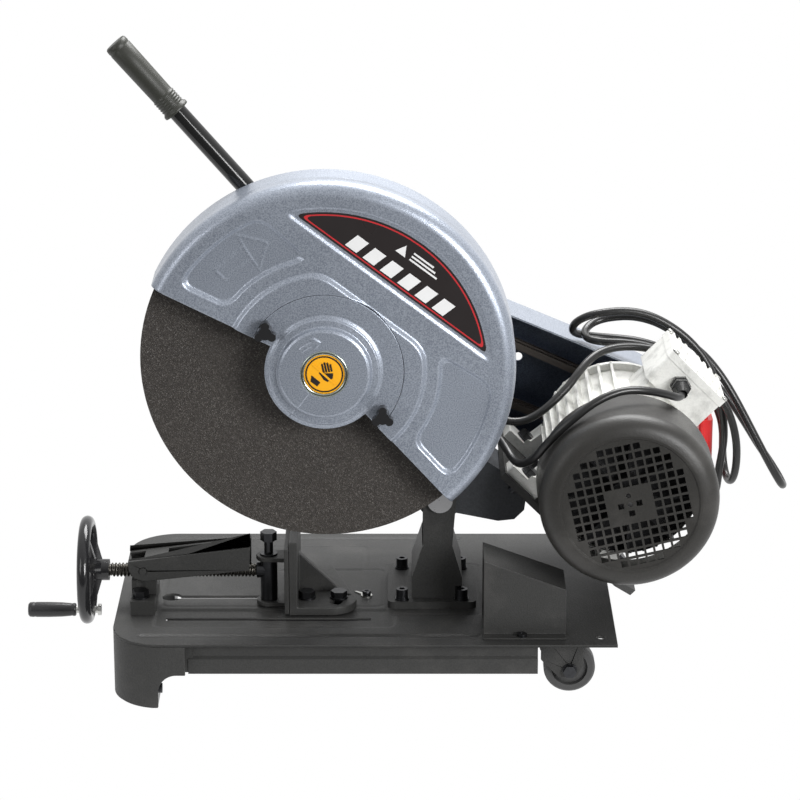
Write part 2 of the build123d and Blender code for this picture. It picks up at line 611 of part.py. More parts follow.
# ---- motor ----------------------------------------------------------------------------------------
def motor_plate():
    """Plate under the motor's feet, on the arm; two corners are cut back to a point."""
    top, low = -FOOT_H, -FOOT_H - 8.0
    plate = slab_z([(-95, 18), (86, 18), (114, 40), (114, 108), (86, 186), (-95, 186)], low, top)
    for s in (-FOOT_A, FOOT_A):
        for y in FOOT_Y:
            plate -= cyl_z(s, y, 5.2, low - 5, top + 5)
    return on_motor(plate)


def motor_housing():
    """Finned body with two feet and the pad for the terminal box."""
    y0, y1 = 5.0, 165.0
    body = cyl_y(0, 0, 76.0, y0, y1)
    for k in range(36):
        a = math.radians(10 * k)
        if abs(math.cos(a - math.radians(270))) > 0.75 or abs(math.cos(a - math.radians(90))) > 0.93:
            continue
        fin = Pos(80.5 * math.cos(a), (y0 + y1) / 2, 80.5 * math.sin(a)) * Rot(0, -10 * k, 0) * Box(12, y1 - y0, 3.0)
        body += fin
    for side in (-1, 1):
        foot = slab_y([(side * 48, -FOOT_H), (side * 92, -FOOT_H), (side * 92, -80), (side * 66, -72),
                       (side * 62, -40), (side * 48, -50)], 24, 181)
        body += foot - box(-200, 200, 56, 149, -90.5, -30)
    body += box(-46, 20, 66, 132, 60, 88)
    body -= cyl_y(0, 0, 68.5, y0 - 5, y1 + 5)
    body -= cyl_y(0, 0, 84.3, y1, y1 + 30)
    for s in (-FOOT_A, FOOT_A):
        for y in FOOT_Y:
            body -= cyl_z(s, y, 5.2, -100, -60)
            body -= cyl_z(s + (14 if s > 0 else -14), y, 21.0, -79.5, -60)
            body -= cyl_z(s, y, 10.2, -79.5, -60)
    return on_motor(body)


def motor_foot_bolts():
    bolts = []
    for s in (-FOOT_A, FOOT_A):
        for y in FOOT_Y:
            bolt = Pos(s, y, -79.4) * hex_bolt(5.0, 26.0, 16.0, 7.0, 9.5, 2.0)
            bolts.append(bolt)
    return group(*[on_motor(b) for b in bolts])


def motor_end_shields():
    front = turned_y([(17.0, -6), (60, -8), (78, 0), (84, 0), (84, 5), (68, 5), (68, 9), (58, 9), (17.0, 3)])
    back = turned_y([(17.0, 176), (40, 184), (80, 176), (84, 172), (84, 165), (68, 165), (68, 161), (58, 161),
                     (17.0, 167)])
    return group(on_motor(front), on_motor(back))


def stator():
    ring = cyl_y(0, 0, 68.0, 30, 140) - cyl_y(0, 0, 42.5, 0, 200)
    return on_motor(ring)


def rotor():
    shaft = cyl_y(0, 0, 12.0, -62, 262) + cyl_y(0, 0, 16.9, -10, 182) + cyl_y(0, 0, 41.5, 32, 138)
    return on_motor(shaft)


def cooling_fan():
    fan = cyl_y(0, 0, 22.0, -58, -30) + cyl_y(0, 0, 70.0, -32, -29)
    for k in range(8):
        a = math.radians(45 * k)
        fan += Pos(44 * math.cos(a), -42, 44 * math.sin(a)) * Rot(0, -45 * k, 0) * Box(52, 22, 2.6)
    return on_motor(fan - cyl_y(0, 0, 12.0, -80, 0))


def fan_cover():
    """Deep drawn cowl with a grille of square holes round a plain centre."""
    arc = [(78 + 19.5 * math.sin(math.radians(a)), -58.5 - 19.5 * math.cos(math.radians(a)))
           for a in range(0, 91, 15)]
    inner = [(78 + 17.3 * math.sin(math.radians(a)), -58.5 - 17.3 * math.cos(math.radians(a)))
             for a in range(90, -1, -15)]
    ring = turned_y([(74, -76.2), (75.5, -78)] + arc + [(97.5, 9), (95.3, 9)] + inner + [(74, -74)])
    pitch, hole = 9.9, 7.4
    face = Circle(75.5)
    holes = []
    for i in range(-7, 8):
        for j in range(-7, 8):
            x, y = i * pitch, (j + 0.45) * pitch
            plain_centre = abs(i) <= 2 and -2 <= j <= 1
            if math.hypot(x, y) < 68.5 and not plain_centre:
                holes.append(Pos(x, y, 0) * Rectangle(hole, hole))
    for i, j in ((-1, 0), (1, 0), (0, -1)):
        holes.append(Pos(i * pitch, j * pitch, 0) * Rectangle(hole - 1, hole - 1))
    holes += [Pos(0, 0, 0) * Circle(2.6), Pos(0, 10.5, 0) * Circle(2.6)]
    grid = extrude(face - holes, amount=2.2)
    grille = Rot(0, -13, 0) * Pos(0, -73.9, 0) * Rot(90, 0, 0) * grid
    return Pos(MOTOR_X, 0, MOTOR_Z) * (ring + grille)


BOX_S, BOX_Y, BOX_H = (-54.0, 28.0), (58.0, 140.0), (88.0, 122.0)


def terminal_box():
    tray = box(BOX_S[0], BOX_S[1], BOX_Y[0], BOX_Y[1], BOX_H[0], BOX_H[1])
    tray = fillet(tray.edges().filter_by(Axis.Z), 4)
    tray -= box(BOX_S[0] + 4, BOX_S[1] - 4, BOX_Y[0] + 4, BOX_Y[1] - 4, BOX_H[0] + 4, BOX_H[1] + 5)
    return on_motor(tray)


def terminal_box_lid():
    s0, s1 = BOX_S[0] - 1, BOX_S[1] + 1
    lid = box(s0, s1, BOX_Y[0] - 1, BOX_Y[1] + 1, BOX_H[1], BOX_H[1] + 9)
    lid = fillet(lid.edges().filter_by(Axis.Z), 4)
    for k in range(8):
        s = s0 + 7 + k * 10
        lid += box(s - 1.6, s + 1.6, BOX_Y[0] + 2, BOX_Y[1] - 2, BOX_H[1] + 9, BOX_H[1] + 12)
    return on_motor(lid)


# ---- switch and cords -----------------------------------------------------------------------------
SWITCH_X, SWITCH_Y, SWITCH_Z = (101.0, 147.0), (46.0, 92.0), (-106.0, -24.0)
BUTTONS = {"start": 113.0, "stop": 135.0}
BUTTON_R, BUTTON_MID_Y = 8.0, 69.0
GLAND_LEN = 18.0
MOTOR_GLAND_S, MOTOR_GLAND_H = -21.0, 109.0
SWITCH_GLANDS = [(58.0, -94.5), (80.0, -81.0)]    # Y and Z on the box's right face


def switch_box():
    case = box(SWITCH_X[0], SWITCH_X[1], SWITCH_Y[0], SWITCH_Y[1], SWITCH_Z[0], SWITCH_Z[1])
    case = fillet(case.edges(), 4)
    for x in BUTTONS.values():
        case -= cyl_z(x, BUTTON_MID_Y, BUTTON_R + 0.3, SWITCH_Z[1] - 12, SWITCH_Z[1] + 5)
    return case


def switch_button(name):
    x = BUTTONS[name]
    proud = 7.0 if name == "stop" else 5.0
    cap = cyl_z(x, BUTTON_MID_Y, BUTTON_R, SWITCH_Z[1] - 6, SWITCH_Z[1] + proud)
    return fillet(cap.edges().sort_by(Axis.Z)[-1], 1.2)


def gland():
    """Cable gland along +Z from z = 0: hex body, domed nut, and the hole that the cord fills."""
    body = hex_prism(20.0, 6.0) + cyl_z(0, 0, 9.2, 6.0, 8.0)
    body += Pos(0, 0, 8) * hex_prism(19.0, 6.0)
    body += Pos(0, 0, (14 + GLAND_LEN) / 2) * Cone(9.0, 6.0, GLAND_LEN - 14)
    return body - cyl_z(0, 0, CORD_D / 2, 5, 30)


def cable_glands():
    x, _, z = motor_place(MOTOR_GLAND_S, MOTOR_GLAND_H, 0)
    parts = [Pos(x, BOX_Y[0], z) * Rot(90, 0, 0) * gland()]
    for y, gz in SWITCH_GLANDS:
        parts.append(Pos(SWITCH_X[1], y, gz) * Rot(0, 90, 0) * gland())
    return group(*parts)


LEAD_ROUTE = [(389.7, 49, -45.9), (389.6, 36, -46.2), (388.4, 23, -47.6), (383, 10, -46), (373, -2, -39),
              (359, -12.5, -32.5), (342, -21, -27.5), (322.5, -27, -25.5), (303.5, -32.5, -30),
              (285.5, -37, -39), (268.5, -39.5, -52.5), (252, -38.5, -68), (237.5, -33, -86),
              (227.5, -22, -104), (217, -7, -116), (209.5, 9, -121.5), (204, 25, -120.5), (198, 39, -114.5),
              (190.5, 49.5, -106), (180, 56, -98.5), (168, 58, -94.5), (156, 58, -94.5)]


def motor_lead():
    """Lead from the motor's terminal box, over the fan cowl, to the switch."""
    return cord_tube(LEAD_ROUTE, CORD_D)


MAINS_ROUTE = [(156, 80, -81), (169, 80, -81), (181, 79.5, -86), (192, 79, -92.5), (205, 78.5, -96.5),
               (219, 79, -95.5), (232, 81.5, -90), (245, 86, -81.5), (257, 92, -72), (269, 100, -61.5),
               (281, 112, -48.5), (293.5, 126, -38), (307, 138, -32.5), (324, 147, -30.5), (342, 152, -31),
               (358, 152.5, -32.8), (374.5, 154, -37)]
PLUG_TAIL = [(432, 195, -192), (432, 194, -202), (434.5, 187, -211.5), (438.5, 176, -215), (442.5, 166, -209),
             (445.5, 160.5, -198)]
HANK_NEAR = [(280, 183, -21), (297, 178, -15), (318, 176, -11), (341, 175, -10), (365, 172, -17.5),
             (389, 168, -31.5), (410, 165, -47), (428, 163, -67), (443, 161, -90), (453, 159, -115),
             (458, 158, -141), (457, 161, -166), (453, 167, -190)]
HANK_FAR = [(288, 205, -23), (303, 213, -22.5), (325, 216, -23.5), (350, 214, -27), (376, 212, -33.5),
            (399, 209, -45), (420, 207, -60), (441, 205, -81), (459, 204, -106), (474, 203, -132),
            (488, 202, -158), (501, 202, -181), (512, 204, -199)]
HANK_INNER = [(406, 182, -63), (420, 187, -78), (434, 193.5, -97), (445, 198.5, -117), (452.5, 201, -139),
              (455, 201, -163), (454, 198, -184)]


def hank():
    """Outer shape of the cord's loose turns, draped behind the terminal box, with two hanging ends."""
    return cord_tube(HANK_NEAR, 27.0) + cord_tube(HANK_FAR, 34.0) + cord_tube(HANK_INNER, 16.0)


PLUG_X, PLUG_Y, PLUG_TOP, PLUG_LOW = 432.0, 195.0, -128.0, -178.0


def mains_cord():
    """The cord from the switch to its loose turns, and its end that turns up into the plug."""
    return group(cord_tube(MAINS_ROUTE, CORD_D), cord_tube(PLUG_TAIL, CORD_D))


def mains_plug():
    """Plug with its pins up: the cord comes in from below."""
    body = box(PLUG_X - 8.0, PLUG_X + 8.0, PLUG_Y - 17, PLUG_Y + 17, PLUG_LOW, PLUG_TOP)
    body = fillet(body.edges().filter_by(Axis.Z), 6)
    body += Pos(PLUG_X, PLUG_Y, PLUG_LOW - 9) * Cone(5.0, 6.5, 18)
    for y in (-9.5, 9.5):
        body += cyl_z(PLUG_X, PLUG_Y + y, 2.4, PLUG_TOP, PLUG_TOP + 19)
    return body


# ---- belt guard -----------------------------------------------------------------------------------
def belt_guard():
    """Deep tray over the belts, closed at the back, with round ends about both pulleys."""
    length = math.hypot(MOTOR_X, MOTOR_Z)
    slope = math.degrees(math.atan2(MOTOR_Z, MOTOR_X))
    depth, wall = BELT_GUARD_Y1 - BELT_GUARD_Y0, 2.0

    def shape(r, height):
        face = make_hull(Circle(r).edges() + (Pos(length, 0, 0) * Circle(r)).edges())
        return extrude(face, amount=height)
    tray = shape(BELT_GUARD_R, depth) - Pos(0, 0, -1) * shape(BELT_GUARD_R - wall, depth - wall + 1)
    tray = Pos(0, BELT_GUARD_Y1 - depth, 0) * Rot(0, -slope, 0) * Rot(-90, 0, 0) * tray
    tray -= cyl_y(218.5, -78.0, 5.0, 200, 300)
    strap = box(-71, 71, BELT_GUARD_Y0, BELT_GUARD_Y0 + 3, -18, 18)
    strap += cyl_y(0, 0, 40, BELT_GUARD_Y0, BELT_GUARD_Y0 + 3)
    return tray + (strap - cyl_y(0, 0, 15.0, 200, 220))


# ---- write every node -----------------------------------------------------------------------------
def nodes():
    yield "base_top_plate", base_top_plate()
    yield "left_end_skirt", left_end_skirt()
    yield "side_rails", side_rails()
    yield "rubber_feet", rubber_feet()
    yield "m6_screws", m6_screws()
    yield "wheel_forks", wheel_forks()
    yield "wheel_axle_bolts", wheel_axle_bolts()
    yield "front_road_wheel", road_wheel()
    yield "back_road_wheel", mirrored(road_wheel())
    yield "pivot_stand", pivot_stand()
    yield "stand_screws", stand_screws()
    yield "pivot_pin", pivot_pin()
    yield "fixed_fence", fixed_fence()
    yield "vice_hex_bolts", vice_hex_bolts()
    yield "vice_nut_block", vice_nut_block()
    yield "movable_jaw", movable_jaw()
    yield "jaw_swivel_bolt", jaw_swivel_bolt()
    yield "jaw_swivel_tube", jaw_swivel_tube()
    yield "vice_screw", vice_screw()
    yield "handwheel", handwheel()
    yield "crank_pin", crank_pin()
    yield "crank_grip", crank_grip()
    yield "release_lever", release_lever()
    yield "spark_deflector", spark_deflector()
    yield "swing_arm", swing_arm()
    yield "pivot_bushes", pivot_bushes()
    yield "spindle_bearings", spindle_bearings()
    yield "spindle_shaft", spindle_shaft()
    yield "disc_flanges", disc_flanges()
    yield "cutting_disc", cutting_disc()
    yield "disc_nut", disc_nut()
    yield "driven_pulley", v_pulley(0, 0, PULLEY_SPINDLE, 12.5)
    yield "drive_pulley", v_pulley(MOTOR_X, MOTOR_Z, PULLEY_MOTOR, 12.0)
    yield "v_belts", v_belts()
    yield "guard_front_cover", guard_front_cover()
    yield "access_cover", access_cover()
    yield "left_cover_knob", cover_knob(-1)
    yield "right_cover_knob", cover_knob(1)
    yield "guard_back_shell", guard_back_shell()
    yield "handle_tube", handle_tube()
    yield "handle_grip", handle_grip()
    yield "motor_plate", motor_plate()
    yield "motor_housing", motor_housing()
    yield "motor_foot_bolts", motor_foot_bolts()
    yield "motor_end_shields", motor_end_shields()
    yield "stator", stator()
    yield "rotor", rotor()
    yield "cooling_fan", cooling_fan()
    yield "fan_cover", fan_cover()
    yield "terminal_box", terminal_box()
    yield "terminal_box_lid", terminal_box_lid()
    yield "switch_box", switch_box()
    yield "start_button", switch_button("start")
    yield "stop_button", switch_button("stop")
    yield "cable_glands", cable_glands()
    yield "motor_lead", motor_lead()
    yield "mains_cord", mains_cord()
    yield "mains_cord_hank", hank()
    yield "mains_plug", mains_plug()
    yield "belt_guard", belt_guard()


for node_name, node_solid in nodes():
    export_node(node_name, node_solid)
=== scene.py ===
import json
import math

import bmesh
import bpy
from mathutils import Matrix, Vector


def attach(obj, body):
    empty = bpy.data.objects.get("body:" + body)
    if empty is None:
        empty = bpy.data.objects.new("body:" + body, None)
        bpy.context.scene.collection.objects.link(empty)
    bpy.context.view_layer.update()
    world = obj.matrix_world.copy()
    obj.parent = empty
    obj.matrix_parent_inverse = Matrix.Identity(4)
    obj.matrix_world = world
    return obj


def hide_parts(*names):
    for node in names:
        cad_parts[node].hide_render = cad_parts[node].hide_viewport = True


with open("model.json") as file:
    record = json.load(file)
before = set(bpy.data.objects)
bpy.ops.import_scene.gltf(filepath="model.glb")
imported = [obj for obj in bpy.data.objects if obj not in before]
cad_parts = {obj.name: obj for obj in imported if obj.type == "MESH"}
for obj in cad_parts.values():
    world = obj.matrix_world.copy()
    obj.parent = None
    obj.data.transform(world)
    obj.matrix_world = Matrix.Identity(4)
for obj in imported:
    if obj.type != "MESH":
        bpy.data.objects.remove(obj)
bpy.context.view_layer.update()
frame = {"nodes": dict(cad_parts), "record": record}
NODES = frame["nodes"]

# Points below are given in millimetres about the centre of the cutting disc at rest, as the part was drawn;
# at() and AT turn them into the row's frame in metres.
ORIGIN = Vector((51.8, 95.5, -376.0))
AT = Matrix.Scale(0.001, 4) @ Matrix.Translation(-ORIGIN)
BASE_TOP = -300.0


def at(x, y, z):
    return (Vector((x, y, z)) - ORIGIN) * 0.001


# ---- camera ---------------------------------------------------------------------------------------
camera = bpy.data.objects.new("camera", bpy.data.cameras.new("camera"))
bpy.context.scene.collection.objects.link(camera)
camera.location = at(80.7, -3270.4, 1016.7)
camera.rotation_euler = (math.pi / 2 - 0.3140, 0, 0)
camera.data.lens = 142.6
camera.data.sensor_width = 36.0
camera.data.clip_end = 50.0
bpy.context.scene.camera = camera


# ---- shader helpers ---------------------------------------------------------------------------------
class Shader:
    """One node tree, with short ways to add what these materials share."""

    def __init__(self, name):
        self.material = bpy.data.materials.new(name)
        self.material.use_nodes = True
        self.tree = self.material.node_tree
        self.bsdf = self.tree.nodes["Principled BSDF"]
        self.place = self.tree.nodes.new("ShaderNodeTexCoord").outputs["Object"]

    def node(self, kind, **values):
        made = self.tree.nodes.new(kind)
        for key, value in values.items():
            setattr(made, key, value)
        return made

    def link(self, a, b):
        self.tree.links.new(a, b)

    def noise(self, scale, detail=3.0, rough=0.55, stretch=None):
        tex = self.node("ShaderNodeTexNoise")
        tex.inputs["Scale"].default_value = scale
        tex.inputs["Detail"].default_value = detail
        tex.inputs["Roughness"].default_value = rough
        self.link(self.mapped(stretch), tex.inputs["Vector"])
        return tex.outputs["Fac"]

    def cells(self, scale, output="Distance", feature="F1", stretch=None):
        tex = self.node("ShaderNodeTexVoronoi", feature=feature)
        tex.inputs["Scale"].default_value = scale
        self.link(self.mapped(stretch), tex.inputs["Vector"])
        return tex.outputs[output]

    def mapped(self, stretch):
        if stretch is None:
            return self.place
        mapping = self.node("ShaderNodeMapping")
        mapping.inputs["Scale"].default_value = stretch
        self.link(self.place, mapping.inputs["Vector"])
        return mapping.outputs["Vector"]

    def ramp(self, source, stops):
        ramp = self.node("ShaderNodeValToRGB")
        elements = ramp.color_ramp.elements
        while len(elements) < len(stops):
            elements.new(0.5)
        for element, (position, colour) in zip(elements, stops):
            element.position = position
            value = colour if isinstance(colour, tuple) else (colour, colour, colour)
            element.color = (*value, 1.0)
        self.link(source, ramp.inputs["Fac"])
        return ramp.outputs["Color"]

    def mix(self, factor, a, b, blend="MIX"):
        mix = self.node("ShaderNodeMix", data_type="RGBA", blend_type=blend)
        for socket, value in ((mix.inputs[0], factor), (mix.inputs[6], a), (mix.inputs[7], b)):
            if isinstance(value, (int, float)):
                socket.default_value = value
            elif isinstance(value, tuple):
                socket.default_value = (*value, 1.0)
            else:
                self.link(value, socket)
        return mix.outputs[2]

    def bump(self, source, distance, strength=1.0, under=None):
        bump = self.node("ShaderNodeBump")
        bump.inputs["Distance"].default_value = distance
        bump.inputs["Strength"].default_value = strength
        self.link(source, bump.inputs["Height"])
        if under is not None:
            self.link(under, bump.inputs["Normal"])
        return bump.outputs["Normal"]

    def done(self, colour=None, rough=None, normal=None, **fixed):
        for socket, value in (("Base Color", colour), ("Roughness", rough), ("Normal", normal)):
            if value is None:
                continue
            if isinstance(value, (int, float)):
                self.bsdf.inputs[socket].default_value = value
            elif isinstance(value, tuple):
                self.bsdf.inputs[socket].default_value = (*value, 1.0)
            else:
                self.link(value, self.bsdf.inputs[socket])
        for key, value in fixed.items():
            self.bsdf.inputs[key.replace("_", " ")].default_value = value
        return self.material


def hammertone(name, dark, light, scale=820.0):
    """Metallic hammer-finish enamel: small bright and dark flecks with shallow dimples."""
    s = Shader(name)
    fleck = s.noise(scale, 2.0, 0.6)
    broad = s.noise(9.0, 3.0)
    base = s.ramp(fleck, [(0.36, dark), (0.50, tuple((a + b) / 2 for a, b in zip(dark, light))), (0.64, light)])
    colour = s.mix(0.35, base, s.ramp(broad, [(0.35, 0.42), (0.65, 0.60)]), "OVERLAY")
    rough = s.ramp(fleck, [(0.3, 0.40), (0.7, 0.30)])
    normal = s.bump(s.noise(scale * 0.8, 2.0), 0.0004, 0.35)
    return s.done(colour, rough, normal, Metallic=0.50, Specular_IOR_Level=0.5, Coat_Weight=0.2, Coat_Roughness=0.2)


def powder(name, colour, amount=0.25, grain=900.0, depth=0.0003, rough=(0.62, 0.48), dust=(0.20, 0.19, 0.18)):
    """Textured powder coat with a little dust and rubbing."""
    s = Shader(name)
    fine = s.noise(grain, 3.0, 0.6)
    broad = s.noise(14.0, 5.0, 0.6)
    light = tuple(min(1.0, c * (1 + amount) + 0.012) for c in colour)
    base = s.mix(fine, tuple(c * (1 - amount) for c in colour), light)
    dusty = s.mix(s.ramp(broad, [(0.52, 0.0), (0.80, 0.16)]), base, dust)
    normal = s.bump(fine, depth, 0.55)
    return s.done(dusty, s.ramp(fine, [(0.3, rough[0]), (0.7, rough[1])]), normal, Specular_IOR_Level=0.45)


def metal(name, colour, rough=0.35, streak=None, scratch=0.15, depth=0.00006, metallic=1.0):
    """Bare or plated metal; streak stretches the texture along the tool marks."""
    s = Shader(name)
    lines = s.noise(260.0, 4.0, 0.7, streak)
    broad = s.noise(30.0, 4.0)
    base = s.mix(lines, tuple(c * (1 - scratch) for c in colour), tuple(min(1.0, c * (1 + scratch)) for c in colour))
    base = s.mix(s.ramp(broad, [(0.45, 0.0), (0.8, 0.35)]), base, tuple(c * 0.55 for c in colour))
    return s.done(base, s.ramp(lines, [(0.2, rough + 0.12), (0.8, max(0.05, rough - 0.08))]),
                  s.bump(lines, depth, 0.5), Metallic=metallic)


def casting(name, colour, dark, rough=0.5, metallic=0.8, grain=420.0, depth=0.0005):
    """Cast metal: granular skin, darker stains in broad random patches."""
    s = Shader(name)
    fine = s.noise(grain, 4.0, 0.65)
    stain = s.noise(38.0, 5.0, 0.65)
    base = s.mix(fine, tuple(c * 0.86 for c in colour), tuple(min(1.0, c * 1.10) for c in colour))
    base = s.mix(s.ramp(stain, [(0.50, 0.0), (0.72, 0.55)]), base, dark)
    return s.done(base, s.ramp(fine, [(0.3, rough + 0.10), (0.7, rough - 0.08)]), s.bump(fine, depth, 0.45),
                  Metallic=metallic)


def plastic(name, colour, rough=0.35, grain=700.0, depth=0.00015, vary=0.10, specular=0.5):
    s = Shader(name)
    fine = s.noise(grain, 2.0)
    broad = s.noise(25.0, 3.0)
    light = tuple(min(1.0, c * (1 + vary) + 0.003) for c in colour)
    base = s.mix(broad, tuple(c * (1 - vary) for c in colour), light)
    return s.done(base, s.ramp(broad, [(0.3, rough + 0.06), (0.7, max(0.04, rough - 0.05))]),
                  s.bump(fine, depth, 0.35), Specular_IOR_Level=specular)


def abrasive(name):
    """Resin-bonded grit: dark brown-black with pale and glinting grains."""
    s = Shader(name)
    grit = s.cells(1050.0, "Color")
    value = s.node("ShaderNodeSeparateColor")
    s.link(grit, value.inputs["Color"])
    grains = s.ramp(value.outputs["Red"], [(0.0, (0.016, 0.013, 0.011)), (0.55, (0.030, 0.025, 0.021)),
                                           (0.86, (0.050, 0.043, 0.037)), (0.98, (0.12, 0.11, 0.10))])
    broad = s.noise(22.0, 4.0)
    colour = s.mix(s.ramp(broad, [(0.35, 0.0), (0.75, 0.45)]), grains, (0.030, 0.025, 0.021))
    height = s.cells(1050.0, "Distance")
    rough = s.ramp(value.outputs["Green"], [(0.0, 0.85), (0.9, 0.55), (1.0, 0.25)])
    return s.done(colour, rough, s.bump(height, 0.0007, 0.8), Specular_IOR_Level=0.5)


M = {
    "guard_paint": hammertone("hammertone_blue_grey", (0.225, 0.252, 0.305), (0.420, 0.460, 0.530)),
    # guard_inside: the guard's own hammertone darkened, painted shade for the inside of the belt guard
    "guard_inside": hammertone("hammertone_painted_shade", (0.022, 0.030, 0.050), (0.050, 0.064, 0.095)),
    "base_paint": powder("powder_coat_charcoal", (0.017, 0.017, 0.016), 0.45, 700.0, 0.00045),
    "arm_paint": powder("casting_paint_dark", (0.032, 0.035, 0.040), 0.3, 420.0, 0.0005),
    "black_tube": plastic("black_gloss_enamel", (0.010, 0.010, 0.010), 0.13, 300.0, 0.00006),
    "wheel_black": plastic("black_gloss_wheel", (0.010, 0.010, 0.011), 0.16, 300.0, 0.00008),
    "cast_aluminium": casting("cast_aluminium", (0.80, 0.80, 0.77), (0.26, 0.26, 0.24), 0.50, 0.45),
    "cowl_paint": powder("cowl_paint", (0.016, 0.015, 0.013), 0.35, 620.0, 0.00035, (0.46, 0.36)),
    "machined_steel": metal("machined_steel", (0.48, 0.48, 0.49), 0.30, (1.0, 6.0, 1.0)),
    "black_steel": metal("black_oxide_steel", (0.055, 0.056, 0.060), 0.34, None, 0.35),
    "zinc_steel": metal("zinc_plated_steel", (0.55, 0.55, 0.53), 0.28),
    "screw_steel": metal("oiled_thread_steel", (0.10, 0.095, 0.085), 0.30, (6.0, 1.0, 1.0), 0.3),
    "bronze": metal("bronze_bush", (0.55, 0.36, 0.16), 0.35),
    "copper_iron": casting("laminated_core", (0.22, 0.20, 0.19), (0.06, 0.05, 0.05), 0.5, 0.7),
    "abrasive": abrasive("abrasive_disc"),
    "grip_rubber": plastic("grip_rubber", (0.030, 0.031, 0.025), 0.42, 500.0, 0.0003, 0.2),
    "black_rubber": plastic("cord_rubber", (0.011, 0.011, 0.011), 0.30, 600.0, 0.0001),
    "belt_rubber": plastic("belt_rubber", (0.030, 0.023, 0.018), 0.55, 500.0, 0.0004, 0.3),
    "wheel_tyre": plastic("wheel_tyre", (0.040, 0.040, 0.040), 0.50, 400.0, 0.0003, 0.25),
    "black_plastic": plastic("black_plastic", (0.013, 0.013, 0.014), 0.32, 650.0, 0.0002),
    "plug_red": plastic("plug_red", (0.62, 0.018, 0.020), 0.35),
    "button_green": plastic("button_green", (0.02, 0.26, 0.06), 0.3),
    "button_red": plastic("button_red", (0.55, 0.02, 0.02), 0.3),
    "label_black": plastic("label_black", (0.020, 0.016, 0.016), 0.30, 800.0, 0.00005),
    "label_red": plastic("label_red", (0.50, 0.030, 0.035), 0.30, 800.0, 0.00005),
    "label_white": plastic("label_white", (0.78, 0.78, 0.78), 0.35, 800.0, 0.00005),
    "badge_yellow": plastic("badge_yellow", (0.90, 0.42, 0.015), 0.28, 800.0, 0.00005, 0.05),
    "chrome": metal("badge_bezel", (0.42, 0.46, 0.42), 0.22),
}

for entry in frame["record"]["subparts"]:
    node = NODES[entry["node"]]
    node.data.materials.clear()
    node.data.materials.append(M[entry["material_slot"]])


# ---- mesh helpers -----------------------------------------------------------------------------------
def add(name, data, material, body, stands_for=()):
    piece = bpy.data.objects.new(name, data)
    bpy.context.scene.collection.objects.link(piece)
    if material:
        data.materials.append(M[material])
    if stands_for:
        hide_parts(*stands_for)
    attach(piece, body)
    return piece


def mesh(name, points, faces, material, body, slot=None, stands_for=(), smooth=True, place=None):
    """A mesh piece from points in drawn millimetres, after an optional placing matrix."""
    whole = AT @ place if place is not None else AT
    data = bpy.data.meshes.new(name)
    data.from_pydata([whole @ Vector(p) for p in points], [], faces)
    data.validate()
    data.update()
    if smooth:
        data.shade_smooth()
    return add(name, data, material, body, stands_for)


def modify(piece, kind, **values):
    modifier = piece.modifiers.new(kind.lower(), kind)
    for key, value in values.items():
        setattr(modifier, key, value)
    return modifier


def soften(node, width, angle=35.0):
    """Rounds the sharp edges of a CAD node or of a hard mesh a little, so that they catch light."""
    modify(node, "WELD", merge_threshold=0.00002)
    modify(node, "BEVEL", width=width * 0.001, segments=2, limit_method="ANGLE", angle_limit=math.radians(angle),
           harden_normals=False, miter_outer="MITER_ARC")
    modify(node, "WEIGHTED_NORMAL", keep_sharp=True)


def lathe(profile, segments=96, arc=(0.0, 360.0)):
    """Points and faces of a (radius, height) profile turned about +Z; a closed outline, whole turn or part."""
    whole = arc[1] - arc[0] >= 360.0
    count = segments if whole else segments + 1
    points, faces = [], []
    for i in range(count):
        a = math.radians(arc[0] + (arc[1] - arc[0]) * i / segments)
        points += [(r * math.cos(a), r * math.sin(a), h) for r, h in profile]
    n = len(profile)
    for i in range(segments):
        j = (i + 1) % count
        for k in range(n - 1):
            faces.append((i * n + k, j * n + k, j * n + k + 1, i * n + k + 1))
    return points, faces


def along_y(x=0.0, y=0.0, z=0.0):
    """Turns a shape drawn about +Z so that its +Z points along -Y, towards the operator, at a place."""
    return Matrix.Translation((x, y, z)) @ Matrix.Rotation(math.pi / 2, 4, "X")


def along_x(x, y, z):
    """Turns a shape drawn about +Z so that its +Z points along -X, towards the handwheel side."""
    return Matrix.Translation((x, y, z)) @ Matrix.Rotation(-math.pi / 2, 4, "Y")


def joined(*shapes):
    points, faces = [], []
    for more_points, more_faces in shapes:
        base = len(points)
        points += more_points
        faces += [tuple(base + i for i in face) for face in more_faces]
    return points, faces


def moved(shape, matrix):
    return [tuple(matrix @ Vector(p)) for p in shape[0]], shape[1]


def slab(outline, h0, h1):
    """A flat outline (x, y) between two heights along Z, as a closed prism."""
    n = len(outline)
    points = [(x, y, h0) for x, y in outline] + [(x, y, h1) for x, y in outline]
    faces = [tuple(range(n - 1, -1, -1)), tuple(range(n, 2 * n))]
    faces += [(i, (i + 1) % n, n + (i + 1) % n, n + i) for i in range(n)]
    return points, faces


def step(value, width):
    """0 below -width/2, 1 above width/2, smooth between."""
    t = min(1.0, max(0.0, value / width + 0.5))
    return t * t * (3 - 2 * t)


def round_max(a, b, r):
    """The larger of two distances, with their corner rounded to radius r."""
    return max(a, b) + max(0.0, r - abs(a - b)) ** 2 / (4 * r) if r > 0 else max(a, b)


# ---- cords ------------------------------------------------------------------------------------------
CORD_D = 9.0


def spline_piece(name, route, diameter, body, stands_for):
    curve = bpy.data.curves.new(name, "CURVE")
    curve.dimensions = "3D"
    curve.resolution_u = 10
    curve.bevel_depth = diameter / 2000
    curve.bevel_resolution = 6
    curve.use_fill_caps = True
    line = curve.splines.new("NURBS")
    line.points.add(len(route) - 1)
    for point, place in zip(line.points, route):
        point.co = (*at(*place), 1.0)
    line.order_u = 3
    line.use_endpoint_u = True
    return add(name, curve, "black_rubber", body, stands_for)


